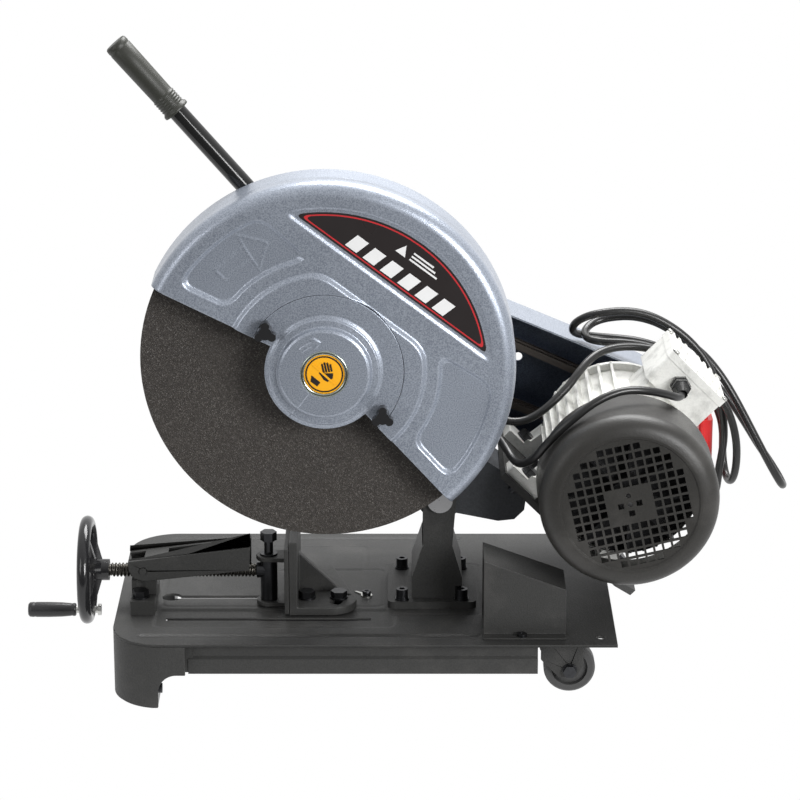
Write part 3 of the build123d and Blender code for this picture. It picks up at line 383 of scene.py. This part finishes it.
def spline_length(piece):
    bare = piece.data.copy()
    bare.bevel_depth = 0.0
    probe = bpy.data.objects.new("probe", bare)
    line = bpy.data.meshes.new_from_object(probe)
    places = [v.co.copy() for v in line.vertices]
    bpy.data.objects.remove(probe)
    bpy.data.curves.remove(bare)
    bpy.data.meshes.remove(line)
    return sum((b - a).length for a, b in zip(places, places[1:]))


LEAD = [(389.7, 49, -45.9), (389.6, 36, -46.2), (388.4, 23, -47.6), (383, 10, -46), (373, -2, -39),
        (359, -12.5, -32.5), (342, -21, -27.5), (322.5, -27, -25.5), (303.5, -32.5, -30),
        (285.5, -37, -39), (268.5, -39.5, -52.5), (252, -38.5, -68), (237.5, -33, -86),
        (227.5, -22, -104), (217, -7, -116), (209.5, 9, -121.5), (204, 25, -120.5), (198, 39, -114.5),
        (190.5, 49.5, -106), (180, 56, -98.5), (168, 58, -94.5), (156, 58, -94.5)]
MAINS = [(156, 80, -81), (169, 80, -81), (181, 79.5, -86), (192, 79, -92.5), (205, 78.5, -96.5),
         (219, 79, -95.5), (232, 81.5, -90), (245, 86, -81.5), (257, 92, -72), (269, 100, -61.5),
         (281, 112, -48.5), (293.5, 126, -38), (307, 138, -32.5), (324, 147, -30.5), (342, 152, -31),
         (358, 152.5, -32.8), (374.5, 152, -36), (393.8, 151, -42.1), (410.9, 150, -52.4),
         (427.2, 150, -67.9), (441.4, 150, -85.7), (453.4, 150, -106), (460.3, 150, -125.2),
         (464.4, 150, -145.6), (465.3, 151.5, -166), (464.2, 156, -184), (462, 165.5, -196),
         (459.5, 179, -201), (457, 192, -196.5), (455, 200.5, -184), (454, 202, -168), (453.9, 202, -150),
         (450.5, 200.5, -131), (442, 197, -110.5), (430.7, 192, -92), (413.3, 184, -70.2),
         (393.9, 177, -52.5), (374, 173, -40.6), (353.3, 172, -34.8), (332.7, 171, -32.1),
         (316, 170.5, -31.6), (303, 173.5, -31), (294.5, 181, -30.5), (291.5, 192, -29.5),
         (292.5, 203.5, -27), (299, 213, -23), (309.5, 218.5, -19.5), (324.5, 219.5, -16.5),
         (346.8, 216, -14.2), (369.5, 212, -18.3), (389.9, 206, -27.2), (411.6, 200, -41),
         (430.9, 194, -55.9), (448.2, 189, -76.6), (463.5, 185, -100.6), (477.5, 183, -126.5),
         (490, 181, -150.1), (502.7, 180, -174), (513.8, 180.5, -194), (519.8, 184, -204.5),
         (524, 192.5, -211.5), (525.8, 203, -214.5), (524, 214, -211.5), (519, 222.5, -204),
         (511, 226, -192), (496.9, 226, -171.6), (483.3, 226, -149), (467.3, 226, -124.1),
         (449.1, 226, -101.7), (428.7, 225, -80.7), (406.2, 224, -64.7), (380.5, 223, -53.5),
         (354.8, 222, -45.3), (329.4, 222, -42.4), (308.6, 221, -40.4), (292.3, 217, -37.3),
         (281.3, 206, -31.8), (276.4, 191, -22.2), (280, 178, -10), (293.5, 171, -0.4), (311.5, 170, 3.7),
         (331.9, 171, 5.5), (354.7, 172, 2.8), (376.4, 172, -5.9), (398.3, 172, -20.1), (417, 172, -37.9),
         (431.1, 171, -57.8), (440.7, 169, -78.7), (446.4, 167, -99.6), (450, 165, -120.5),
         (451.4, 163, -141.6), (449.2, 160, -161.1), (446, 158, -178), (445, 158, -194),
         (443.8, 161.4, -207.2), (440.7, 170.2, -214.4), (436.8, 181.3, -214.9), (433.5, 190.6, -208),
         (432, 195, -200), (432, 195, -191)]

lead = spline_piece("motor_lead_cable", LEAD, CORD_D, "arm", ["motor_lead"])
mains = spline_piece("mains_cable", MAINS, CORD_D, "arm", ["mains_cord", "mains_cord_hank"])


def boot(name, tip, direction, length, body="arm"):
    """Tapered, ribbed strain relief round the cord where it leaves a gland."""
    profile = [(4.6, 0)]
    for i in range(7):
        h = length * i / 7
        r = 7.4 - 2.2 * i / 7
        profile += [(r, h), (r, h + length / 7 * 0.6), (r - 1.0, h + length / 7 * 0.7), (r - 1.0, h + length / 7)]
    profile += [(4.6, length)]
    turn = Vector((0, 0, 1)).rotation_difference(Vector(direction)).to_matrix().to_4x4()
    points, faces = lathe(profile, 32)
    return mesh(name, points, faces, "black_rubber", body, place=Matrix.Translation(tip) @ turn)


lead_boot = boot("lead_strain_relief", (389.7, 43.0, -46.0), (0, -1, 0), 21.0)
mains_boot = boot("mains_strain_relief", (163.0, 80, -81), (1, 0, 0), 20.0)

spline_length(lead)
spline_length(mains)

# ---- guard ------------------------------------------------------------------------------------------
GUARD_TILT = math.radians(52.85)
GUARD_R, GUARD_F, GUARD_SEAM, GUARD_HALF = 205.5, -38.0, -8.0, 100.75
SHOULDER_R, SHOULDER = 191.0, 14.5


def guard_xz(u, v):
    """Guard coordinates, v along its line of symmetry and u to the right of it, to drawn X and Z."""
    c, s = math.cos(GUARD_TILT), math.sin(GUARD_TILT)
    return v * c + u * s, v * s - u * c


def line_distance(u, v, a, b):
    """Signed distance from the line a-b, positive on its right side going from a to b."""
    du, dv = b[0] - a[0], b[1] - a[1]
    length = math.hypot(du, dv)
    return ((u - a[0]) * dv - (v - a[1]) * du) / length


def panel_field(u, v):
    """Distance inside (negative) or outside (positive) the pressed panel on one side, mirrored for the other."""
    u = abs(u)
    r = math.hypot(u, v)
    edge = math.radians(90 - GUARD_HALF)
    low = line_distance(u, v, (18 * math.sin(-edge), 18 * math.cos(edge)), (
        18 * math.sin(-edge) + 100 * math.cos(edge), 18 * math.cos(edge) + 100 * math.sin(edge)))
    top = -line_distance(u, v, (87, 88), (153.5, 94))
    d = round_max(r - 180, 124 - r, 0)
    d = round_max(d, low, 14)
    return round_max(d, top, 14)


def label_field(u, v, inset=0.0):
    r = math.hypot(u, v)
    return round_max(r - 179 + inset, 114.5 + inset - v, 10)


def arrow_field(s, t, length, width):
    """Distance field of a flat arrow along s, from -length/2 to length/2, t across it."""
    neck = length * 0.12
    shaft = max(abs(t) - width * 0.22, -length / 2 - s, s - neck)
    head = max(neck - s, (s - length / 2) * 0.70 + abs(t) * 0.72 if s > neck else 99)
    return min(shaft, head)


def guard_height(u, v):
    """Y of the pressed front of the guard: raised stage, sunk panels, label seat and rounded shoulder."""
    r = math.hypot(u, v)
    y = GUARD_F
    stage = round_max(r - 107, v - 84, 10)
    y -= 4.0 * step(-stage, 6.0)
    panel = panel_field(u, v)
    y += 4.2 * step(-panel, 5.0)
    if panel < -3:
        angle = math.degrees(math.atan2(u, v))
        d = arrow_field(math.radians(angle + 72) * 152, r - 152, 62, 34) if u < 0 else 99
        y -= 0.5 * step(1.3 - abs(d), 1.6)
    y += 1.6 * step(-label_field(u, v), 4.0)
    if r > SHOULDER_R:
        inside = min(r - SHOULDER_R, SHOULDER)
        y += SHOULDER - math.sqrt(max(0.0, SHOULDER ** 2 - inside ** 2))
    return y


def sector_sheet(radii, angles, height):
    """A fan of quads in guard coordinates; height(u, v) gives Y."""
    points, faces = [], []
    for a in angles:
        for r in radii:
            u, v = r * math.sin(a), r * math.cos(a)
            x, z = guard_xz(u, v)
            points.append((x, height(u, v, r), z))
    n = len(radii)
    for i in range(len(angles) - 1):
        for k in range(n - 1):
            faces.append((i * n + k, i * n + k + 1, (i + 1) * n + k + 1, (i + 1) * n + k))
    return points, faces


def spread(low, high, count):
    return [low + (high - low) * i / (count - 1) for i in range(count)]


def cover_y(u, v, r):
    if r > GUARD_R:
        return GUARD_F + SHOULDER + (r - GUARD_R) / 0.01 * (GUARD_SEAM - GUARD_F - SHOULDER)
    return guard_height(u, v)


cover_radii = spread(85.3, SHOULDER_R, 100)
cover_radii += [SHOULDER_R + SHOULDER * math.sin(math.radians(a)) for a in range(8, 91, 9)][:-1]
cover_radii += [GUARD_R, GUARD_R + 0.003, GUARD_R + 0.01]
angles = spread(math.radians(-GUARD_HALF), math.radians(GUARD_HALF), 420)
points, faces = sector_sheet(cover_radii, angles, cover_y)
cover = mesh("guard_cover_pressing", points, faces, "guard_paint", "arm", stands_for=["guard_front_cover"])
modify(cover, "SOLIDIFY", thickness=0.0022, offset=1.0, use_rim=True)


def access_y(u, v, r):
    """Hub boss over the nut, its fillet, and the flat ring; a small turned arrow is raised beside the hub."""
    profile = [(0, -49.6), (24.5, -49.6), (25.5, -52), (46, -52), (49, -50.6), (50.5, -47.0), (51.5, -45.8),
               (57.5, -45.2), (60, -43.4), (62.5, -42.3), (64, -42), (84.6, -42)]
    y = profile[-1][1]
    for (r0, y0), (r1, y1) in zip(profile, profile[1:]):
        if r0 <= r <= r1:
            y = y0 + (y1 - y0) * step((r - (r0 + r1) / 2), r1 - r0)
            break
    angle = math.degrees(math.atan2(u, v))
    d = arrow_field(math.radians(angle + 62) * 36, r - 36, 24, 11)
    return y - 0.8 * step(-d, 1.0) * (1 if 30 < r < 42 else 0)


hub_radii = [0.01, 8, 16, 22, 26.4, 27, 27.6] + spread(28.5, 84.6, 86)
hub_points, hub_faces = sector_sheet([r for r in hub_radii if r <= 64.2], spread(-math.pi, math.pi, 241), access_y)
plate_points, plate_faces = sector_sheet([r for r in hub_radii if r >= 62.9], angles[::2], access_y)
points, faces = joined((hub_points, hub_faces), (plate_points, plate_faces))
access = mesh("access_cover_pressing", points, faces, "guard_paint", "arm", stands_for=["access_cover"])
modify(access, "SOLIDIFY", thickness=0.0020, offset=1.0, use_rim=True)

# badge: bezel, yellow disc, black ring and a generic mark
badge_place = along_y(0, -49.6, 0)
points, faces = lathe([(21.6, 0.2), (21.8, 2.0), (22.6, 3.0), (24.8, 3.1), (26.0, 2.4), (26.3, 0.2)], 96)
mesh("badge_bezel", points, faces, "chrome", "arm", "zinc_steel", place=badge_place)
points, faces = lathe([(0.01, 1.5), (10, 1.5), (20.0, 1.45), (21.7, 1.2)], 96)
mesh("badge_disc", points, faces, "badge_yellow", "arm", "guard_paint", place=badge_place)
ring = lathe([(18.6, 1.4), (18.7, 1.75), (20.2, 1.72), (20.3, 1.4)], 96)
bars = []
for k, (x0, top_y, low_y) in enumerate(((3.0, 11.5, 1.5), (5.9, 12.6, 1.5), (8.8, 11.6, 1.5), (11.6, 9.4, 1.5))):
    bars.append(moved(slab([(x0, low_y), (x0 + 2.0, low_y), (x0 + 2.0, top_y), (x0 + 1.0, top_y + 0.8), (x0, top_y)],
                           1.55, 1.9), Matrix.Rotation(math.radians(12), 4, "Z") @ Matrix.Translation((-4, 0, 0))))
palm = slab([(-2.2, 1.2), (9.6, 1.2), (9.0, -4.4), (3.6, -8.4), (-0.6, -6.2), (-5.6, 1.6), (-4.2, 2.8)], 1.55, 1.9)
wedge = slab([(-13.5, -1.0), (-4.2, -9.0), (-7.6, -13.4), (-14.6, -8.0)], 1.55, 1.9)
stripe = slab([(-13.6, 11.0), (-11.9, 12.4), (12.6, -11.0), (10.9, -12.4)], 1.92, 2.1)
points, faces = joined(ring, *bars, palm, wedge)
mesh("badge_mark", points, faces, "label_black", "arm", "black_plastic", smooth=False, place=badge_place)
mesh("badge_stripe", *stripe, "badge_yellow", "arm", "guard_paint", smooth=False, place=badge_place)


# label: black field with a red border and generic white marks, lying on its seat
def label_sheet(name, material, slot, inset, lift):
    """A thin sheet filling the label seat down to an inset, lifted off the seat towards the operator."""
    points, faces = [], []
    step_u = 150
    rows = spread(114.5 + inset, 179 - inset - 0.02, 90)
    for i, v in enumerate(rows):
        half = math.sqrt(max(0.0, (179 - inset) ** 2 - v * v))
        low = 0.0
        if v - (114.5 + inset) < 6:
            low = 6 - math.sqrt(max(0.0, 36 - (6 - (v - 114.5 - inset)) ** 2))
        half = max(0.5, half - low)
        for k in range(step_u + 1):
            u = half * (2 * k / step_u - 1)
            x, z = guard_xz(u, v)
            points.append((x, GUARD_F + 1.6 - lift, z))
    n = step_u + 1
    for i in range(len(rows) - 1):
        for k in range(step_u):
            faces.append((i * n + k, i * n + k + 1, (i + 1) * n + k + 1, (i + 1) * n + k))
    return mesh(name, points, faces, material, "arm", slot, smooth=False)


label_sheet("label_ground", "label_black", "black_plastic", 4.6, 0.15)
label_sheet("label_border", "label_red", "plug_red", 6.8, 0.30)
label_sheet("label_field", "label_black", "black_plastic", 8.4, 0.45)


def label_mark(outline):
    """A white outline on the label, given in label coordinates (right, up)."""
    points = []
    for px, py in outline:
        x, z = guard_xz(px, py)
        points.append((x, GUARD_F + 1.6 - 0.62, z))
    return points, [tuple(range(len(outline)))]


marks = []
for k in range(6):
    left = -66 + k * 23.0
    marks.append(label_mark([(left, 124.5), (left + 15.0, 124.5), (left + 19.5, 141.0), (left + 4.5, 141.0)]))
marks.append(label_mark([(-20, 151.5), (-7, 151.5), (-13.5, 163.0)]))
for k in range(3):
    marks.append(label_mark([(-2, 152.0 + k * 4.0), (34 - 5 * k, 152.0 + k * 4.0), (34 - 5 * k, 154.0 + k * 4.0),
                             (-2, 154.0 + k * 4.0)]))
points, faces = joined(*marks)
mesh("label_marks", points, faces, "label_white", "arm", "button_red", smooth=False)

# ---- deck pressing ----------------------------------------------------------------------------------
def welded_copy(node, name):
    """A plain, closed copy of a CAD node's mesh, to cut other meshes with."""
    data = bpy.data.meshes.new(name)
    bm = bmesh.new()
    bm.from_mesh(NODES[node].data)
    bmesh.ops.remove_doubles(bm, verts=bm.verts, dist=0.00001)
    bm.to_mesh(data)
    bm.free()
    return data


def cut(points, faces, tool_data, operation):
    """The closed mesh (drawn millimetres) after one boolean with another mesh, as new mesh data in metres."""
    data = bpy.data.meshes.new("cut")
    data.from_pydata([AT @ Vector(p) for p in points], [], faces)
    data.update()
    subject = bpy.data.objects.new("cut_subject", data)
    tool = bpy.data.objects.new("cut_tool", tool_data)
    for o in (subject, tool):
        bpy.context.scene.collection.objects.link(o)
    modifier = subject.modifiers.new("cut", "BOOLEAN")
    modifier.object = tool
    modifier.operation = operation
    modifier.solver = "EXACT"
    bpy.context.view_layer.update()
    result = bpy.data.meshes.new_from_object(subject.evaluated_get(bpy.context.evaluated_depsgraph_get()))
    for o in (subject, tool):
        bpy.data.objects.remove(o)
    return result


def rect_field(x, y, x0, x1, y0, y1, r):
    dx = abs(x - (x0 + x1) / 2) - (x1 - x0) / 2 + r
    dy = abs(y - (y0 + y1) / 2) - (y1 - y0) / 2 + r
    return math.hypot(max(dx, 0), max(dy, 0)) + min(max(dx, dy), 0) - r


def deck_z(x, y):
    """Top of the pressed deck: a sunk tray round the disc's slot, score lines round the pads, two long beads."""
    z = -1.4 * step(-rect_field(x, y, -192, 75, -25, 26, 9), 3.5)
    for x0, x1, y0, y1 in ((-186, 62, 36, 150), (-120, 41, 150, 227), (66, 170, 12, 168)):
        d = abs(rect_field(x, y, x0, x1, y0, y1, 8))
        z -= 0.8 * step(1.5 - d, 1.8) * (1 if z > -1 else 0)
    z -= 1.5 * step(-rect_field(x, y, -205, 168, -53.5, -47.5, 3), 2.4)
    z -= 1.5 * step(-rect_field(x, y, -186, 152, 248, 256, 4), 3.0)
    return z


GRID = 2.2
xs = spread(-237, 319, int(556 / GRID))
ys = spread(-80, 271, int(351 / GRID))
points = [(x, y, BASE_TOP - 0.02 + deck_z(x, y)) for x in xs for y in ys] + [(x, y, -305.0) for x in xs for y in ys]
n, half = len(ys), len(xs) * len(ys)
faces = []
for i in range(len(xs) - 1):
    for k in range(n - 1):
        a, b, c, d = i * n + k, (i + 1) * n + k, (i + 1) * n + k + 1, i * n + k + 1
        faces.append((a, b, c, d))
        faces.append((half + d, half + c, half + b, half + a))
for i in range(len(xs) - 1):
    for k in (0, n - 1):
        a, b = i * n + k, (i + 1) * n + k
        faces.append((a, half + a, half + b, b) if k == 0 else (b, half + b, half + a, a))
for k in range(n - 1):
    for i in (0, len(xs) - 1):
        a, b = i * n + k, i * n + k + 1
        faces.append((b, half + b, half + a, a) if i == 0 else (a, half + a, half + b, b))
deck_data = cut(points, faces, welded_copy("base_top_plate", "deck_tool"), "INTERSECT")
deck_data.materials.clear()
deck_data.shade_smooth()
deck = add("deck_pressing", deck_data, "base_paint", "base", ["base_top_plate"])
modify(deck, "WEIGHTED_NORMAL", keep_sharp=True)

# ---- vice details -----------------------------------------------------------------------------------
PITCH, THREAD_X0, THREAD_X1 = 4.0, -244.0, -80.0


def thread(x0, x1, crest, root, y, z, around=36, per_pitch=8):
    """A screw thread along X: a trapezoid profile wound at the pitch, with plain ends."""
    rows = int((x1 - x0) / PITCH * per_pitch)
    points, faces = [], []
    for i in range(rows + 1):
        x = x0 + (x1 - x0) * i / rows
        for k in range(around):
            a = 2 * math.pi * k / around
            phase = ((x - x0) / PITCH - k / around) % 1.0
            tooth = step(0.27 - abs(phase - 0.5), 0.26)
            fade = min(1.0, (x - x0) / 3.0 + 0.02, (x1 - x) / 3.0 + 0.02)
            r = root + (crest - root) * tooth * fade
            points.append((x, y + r * math.cos(a), z + r * math.sin(a)))
    for i in range(rows):
        for k in range(around):
            j = (k + 1) % around
            faces.append((i * around + k, i * around + j, (i + 1) * around + j, (i + 1) * around + k))
    return points, faces


VICE_Y, VICE_Z = 45.0, -259.5
journal = moved(lathe([(0.01, 0), (6.0, 0), (6.0, 7.0), (0.01, 7.0)], 36),
                Matrix.Translation((-80.6, VICE_Y, VICE_Z)) @ Matrix.Rotation(math.pi / 2, 4, "Y"))
shank = moved(lathe([(0.01, 0), (6.2, 0), (7.0, 0.8), (7.0, 18.0), (6.0, 18.6), (0.01, 18.6)], 36),
              Matrix.Translation((-262.3, VICE_Y, VICE_Z)) @ Matrix.Rotation(math.pi / 2, 4, "Y"))
points, faces = joined(thread(THREAD_X0, THREAD_X1, 7.9, 6.1, VICE_Y, VICE_Z), journal, shank)
mesh("vice_screw_thread", points, faces, "screw_steel", "screw", stands_for=["vice_screw"])

# crank grip: turned handle with a collar and a rounded end
grip_profile = [(4.1, 0), (6.4, 0.2), (7.2, 1.0), (7.4, 3.0), (6.9, 4.4), (7.3, 6.5), (8.1, 16), (8.5, 30), (8.5, 44),
                (8.2, 46.0), (8.2, 47.0), (8.5, 48.0), (8.1, 52), (6.4, 53.7), (3.0, 54.0), (0.01, 54.0)]
points, faces = lathe(grip_profile, 64)
mesh("crank_grip_turned", points, faces, "black_plastic", "crank_grip", place=along_x(-283, VICE_Y, VICE_Z - 48),
     stands_for=["crank_grip"])

# ---- handle -----------------------------------------------------------------------------------------
HANDLE_FOOT, HANDLE_DIR, HANDLE_LEN = Vector((-34.6, 40.0, 124.7)), Vector((-0.6564, 0, 0.7545)), 285.0
handle_turn = Vector((0, 0, 1)).rotation_difference(HANDLE_DIR).to_matrix().to_4x4()
profile = [(10.05, HANDLE_LEN - 98), (14.6, HANDLE_LEN - 98), (15.0, HANDLE_LEN - 97.2), (15.0, HANDLE_LEN - 95),
           (14.2, HANDLE_LEN - 94)]
for k in range(5):
    h = HANDLE_LEN - 92 + k * 3.2
    profile += [(12.6, h), (12.6, h + 0.8), (13.3, h + 1.4), (13.3, h + 2.4), (12.6, h + 3.0)]
profile += [(12.4, HANDLE_LEN - 74), (12.6, HANDLE_LEN - 60), (12.9, HANDLE_LEN - 30), (13.0, HANDLE_LEN - 9),
            (12.6, HANDLE_LEN - 8.2), (12.6, HANDLE_LEN - 6.8), (13.0, HANDLE_LEN - 6), (12.6, HANDLE_LEN - 1.6),
            (11.2, HANDLE_LEN - 0.2), (9.0, HANDLE_LEN), (0.01, HANDLE_LEN)]
points, faces = lathe(profile, 72)
mesh("handle_grip_moulded", points, faces, "grip_rubber", "arm", place=Matrix.Translation(HANDLE_FOOT) @ handle_turn,
     stands_for=["handle_grip"])

# ---- belt guard's inside: a lining sheet in the guard's paint, darkened as painted shade --------------
MOTOR_X, MOTOR_Z = 327.5, -138.8
slope = math.atan2(MOTOR_Z, MOTOR_X)


def stadium(r, steps=28):
    """Outline round both pulleys, in X and Z."""
    out = []
    for centre, first in (((MOTOR_X, MOTOR_Z), slope - math.pi / 2), ((0, 0), slope + math.pi / 2)):
        for k in range(steps + 1):
            a = first + math.pi * k / steps
            out.append((centre[0] + r * math.cos(a), centre[1] + r * math.sin(a)))
    return out


def painted_shade_sheet_shape():
    outline = stadium(69.7)
    n = len(outline)
    points = [(x, 206.2, z) for x, z in outline] + [(x, 265.7, z) for x, z in outline]
    faces = [(i, (i + 1) % n, n + (i + 1) % n, n + i) for i in range(n)]
    faces.append(tuple(range(n, 2 * n)))
    return points, faces


hole_tool = bpy.data.meshes.new("hole_tool")
points, faces = lathe([(0.01, 0), (5.0, 0), (5.0, 40), (0.01, 40)], 32)
turn = AT @ Matrix.Translation((218.5, 285, -78.0)) @ Matrix.Rotation(math.pi / 2, 4, "X")
hole_tool.from_pydata([turn @ Vector(p) for p in points], [], faces)
painted_shade_sheet_data = cut(*painted_shade_sheet_shape(), hole_tool, "DIFFERENCE")
painted_shade_sheet_data.materials.clear()
# a dark sheet of painted shade laid over the belt guard's inside, with the hole left open
add("belt_guard_inside_painted_shade", painted_shade_sheet_data, "guard_inside", "arm")

# ---- small hardware on the deck -----------------------------------------------------------------------
washer = moved(lathe([(0.01, 0), (6.4, 0), (6.4, 1.2), (3.4, 1.3), (0.01, 1.3)], 32),
               Matrix.Translation((43, 68, BASE_TOP)))
needle = slab([(34.0, 74.5), (29.0, 80.0), (31.5, 80.5), (37.0, 76.5), (40.0, 73.0), (37.5, 71.0)],
              BASE_TOP, BASE_TOP + 1.0)
mesh("mitre_pointer", *joined(washer, needle), "zinc_steel", "base", smooth=False)
screw_head = lathe([(3.9, 1.3), (4.8, 1.5), (4.8, 5.6), (4.2, 6.2), (2.4, 6.2), (2.3, 3.0), (0.01, 3.0)], 40)
points, faces = moved(screw_head, Matrix.Translation((43, 68, BASE_TOP)))
mesh("mitre_pointer_screw", points, faces, "black_steel", "base")

# backing strips behind the joints between the end skirt and the two rails
strips = [slab([(-158, y), (-146, y), (-146, y + 1), (-158, y + 1)], -338, -303) for y in (-63.6, 253.6)]
points, faces = joined(*strips)
mesh("skirt_joint_strips", points, faces, "base_paint", "base", smooth=False)

# lid screws of the terminal box, on the tilted motor
ON_MOTOR = Matrix.Translation((MOTOR_X, 0, MOTOR_Z)) @ Matrix.Rotation(math.radians(45), 4, "Y")
screws = []
for s in (-51, 25):
    for y in (61, 137):
        screws.append(moved(lathe([(0.01, 3.2), (1.6, 3.3), (3.4, 3.0), (4.2, 2.0), (4.3, 0), (0.01, 0)], 28),
                            Matrix.Translation((s, y, 131.0))))
points, faces = joined(*screws)
mesh("terminal_lid_screws", points, faces, "zinc_steel", "arm", place=ON_MOTOR)

for name, width in (("left_end_skirt", 0.8), ("side_rails", 0.8), ("wheel_forks", 0.8), ("pivot_stand", 1.4),
                    ("fixed_fence", 1.2), ("vice_nut_block", 1.2), ("release_lever", 0.7), ("movable_jaw", 0.8),
                    ("spark_deflector", 0.5), ("swing_arm", 2.0), ("motor_plate", 0.8), ("motor_housing", 0.8),
                    ("motor_end_shields", 1.0), ("terminal_box", 1.0), ("terminal_box_lid", 0.8), ("switch_box", 0.6),
                    ("vice_hex_bolts", 0.5), ("motor_foot_bolts", 0.5), ("stand_screws", 0.4), ("disc_nut", 0.5),
                    ("left_cover_knob", 0.9), ("right_cover_knob", 0.9), ("cable_glands", 0.4),
                    ("guard_back_shell", 0.8), ("belt_guard", 1.5), ("handwheel", 0.5), ("mains_plug", 1.0),
                    ("wheel_axle_bolts", 0.4), ("jaw_swivel_bolt", 0.4), ("m6_screws", 0.4), ("fan_cover", 0.3)):
    soften(NODES[name], width)

# ---- lights and stage -------------------------------------------------------------------------------
scene = bpy.context.scene
scene.view_settings.view_transform = "Standard"
world = bpy.data.worlds.new("studio")
scene.world = world
world.use_nodes = True
# white studio: bright above and behind, dim on the operator's side
sky = world.node_tree
axes = sky.nodes.new("ShaderNodeSeparateXYZ")
lift, ramp = sky.nodes.new("ShaderNodeMath"), sky.nodes.new("ShaderNodeValToRGB")
lift.operation = "MULTIPLY_ADD"
lift.inputs[1].default_value = 0.30
sky.links.new(sky.nodes.new("ShaderNodeTexCoord").outputs["Generated"], axes.inputs[0])
sky.links.new(axes.outputs["Y"], lift.inputs[0])
half_z = sky.nodes.new("ShaderNodeMath")
half_z.operation = "MULTIPLY_ADD"
half_z.inputs[1].default_value = 0.36
half_z.inputs[2].default_value = 0.44
sky.links.new(axes.outputs["Z"], half_z.inputs[0])
sky.links.new(half_z.outputs[0], lift.inputs[2])
sky.links.new(lift.outputs[0], ramp.inputs["Fac"])
for element, (position, value) in zip(ramp.color_ramp.elements, ((0.12, 0.09), (0.80, 1.0))):
    element.position = position
    element.color = (value, value, value, 1.0)
sky.links.new(ramp.outputs["Color"], sky.nodes["Background"].inputs["Color"])
sky.nodes["Background"].inputs["Strength"].default_value = 1.0


def area_light(name, place, aim, size, power):
    data = bpy.data.lights.new(name, "AREA")
    data.shape = "RECTANGLE"
    data.size, data.size_y = size
    data.energy = power
    lamp = bpy.data.objects.new(name, data)
    scene.collection.objects.link(lamp)
    lamp.location = place
    lamp.rotation_euler = (Vector(aim) - Vector(place)).to_track_quat("-Z", "Y").to_euler()
    return lamp


area_light("key", (1.7, -2.2, 1.0), (0.1, -0.1, 0.36), (1.2, 1.0), 66)
area_light("top", (0.5, 0.9, 2.3), (0, 0, 0.1), (1.8, 1.2), 78)
area_light("fill", (-1.8, -1.7, 1.0), (0, 0, 0.3), (1.0, 1.0), 9)

floor_mesh = bpy.data.meshes.new("floor")
floor_mesh.from_pydata([(-1.7, -0.52, -0.0005), (1.7, -0.52, -0.0005), (1.7, 5.0, -0.0005), (-1.7, 5.0, -0.0005)], [],
                       [(0, 1, 2, 3)])
floor = bpy.data.objects.new("floor", floor_mesh)
scene.collection.objects.link(floor)
floor_shader = Shader("white_table")
floor_mesh.materials.append(floor_shader.done((0.0, 0.0, 0.0), 1.0, Specular_IOR_Level=0.0,
                                              Emission_Color=(1.0, 1.0, 1.0, 1.0), Emission_Strength=1.0))

# the floor is in the machine's own shadow under the back of the base
shade_mesh = bpy.data.meshes.new("floor_shade")
shade_mesh.from_pydata([at(-192, 110, -375.6), at(215, 110, -375.6), at(215, 250, -375.6), at(-192, 250, -375.6)], [],
                       [(0, 1, 2, 3)])
shade = bpy.data.objects.new("floor_shade", shade_mesh)
scene.collection.objects.link(shade)
shade_mesh.materials.append(Shader("floor_in_shadow").done((0.02, 0.02, 0.02), 1.0, Specular_IOR_Level=0.0))
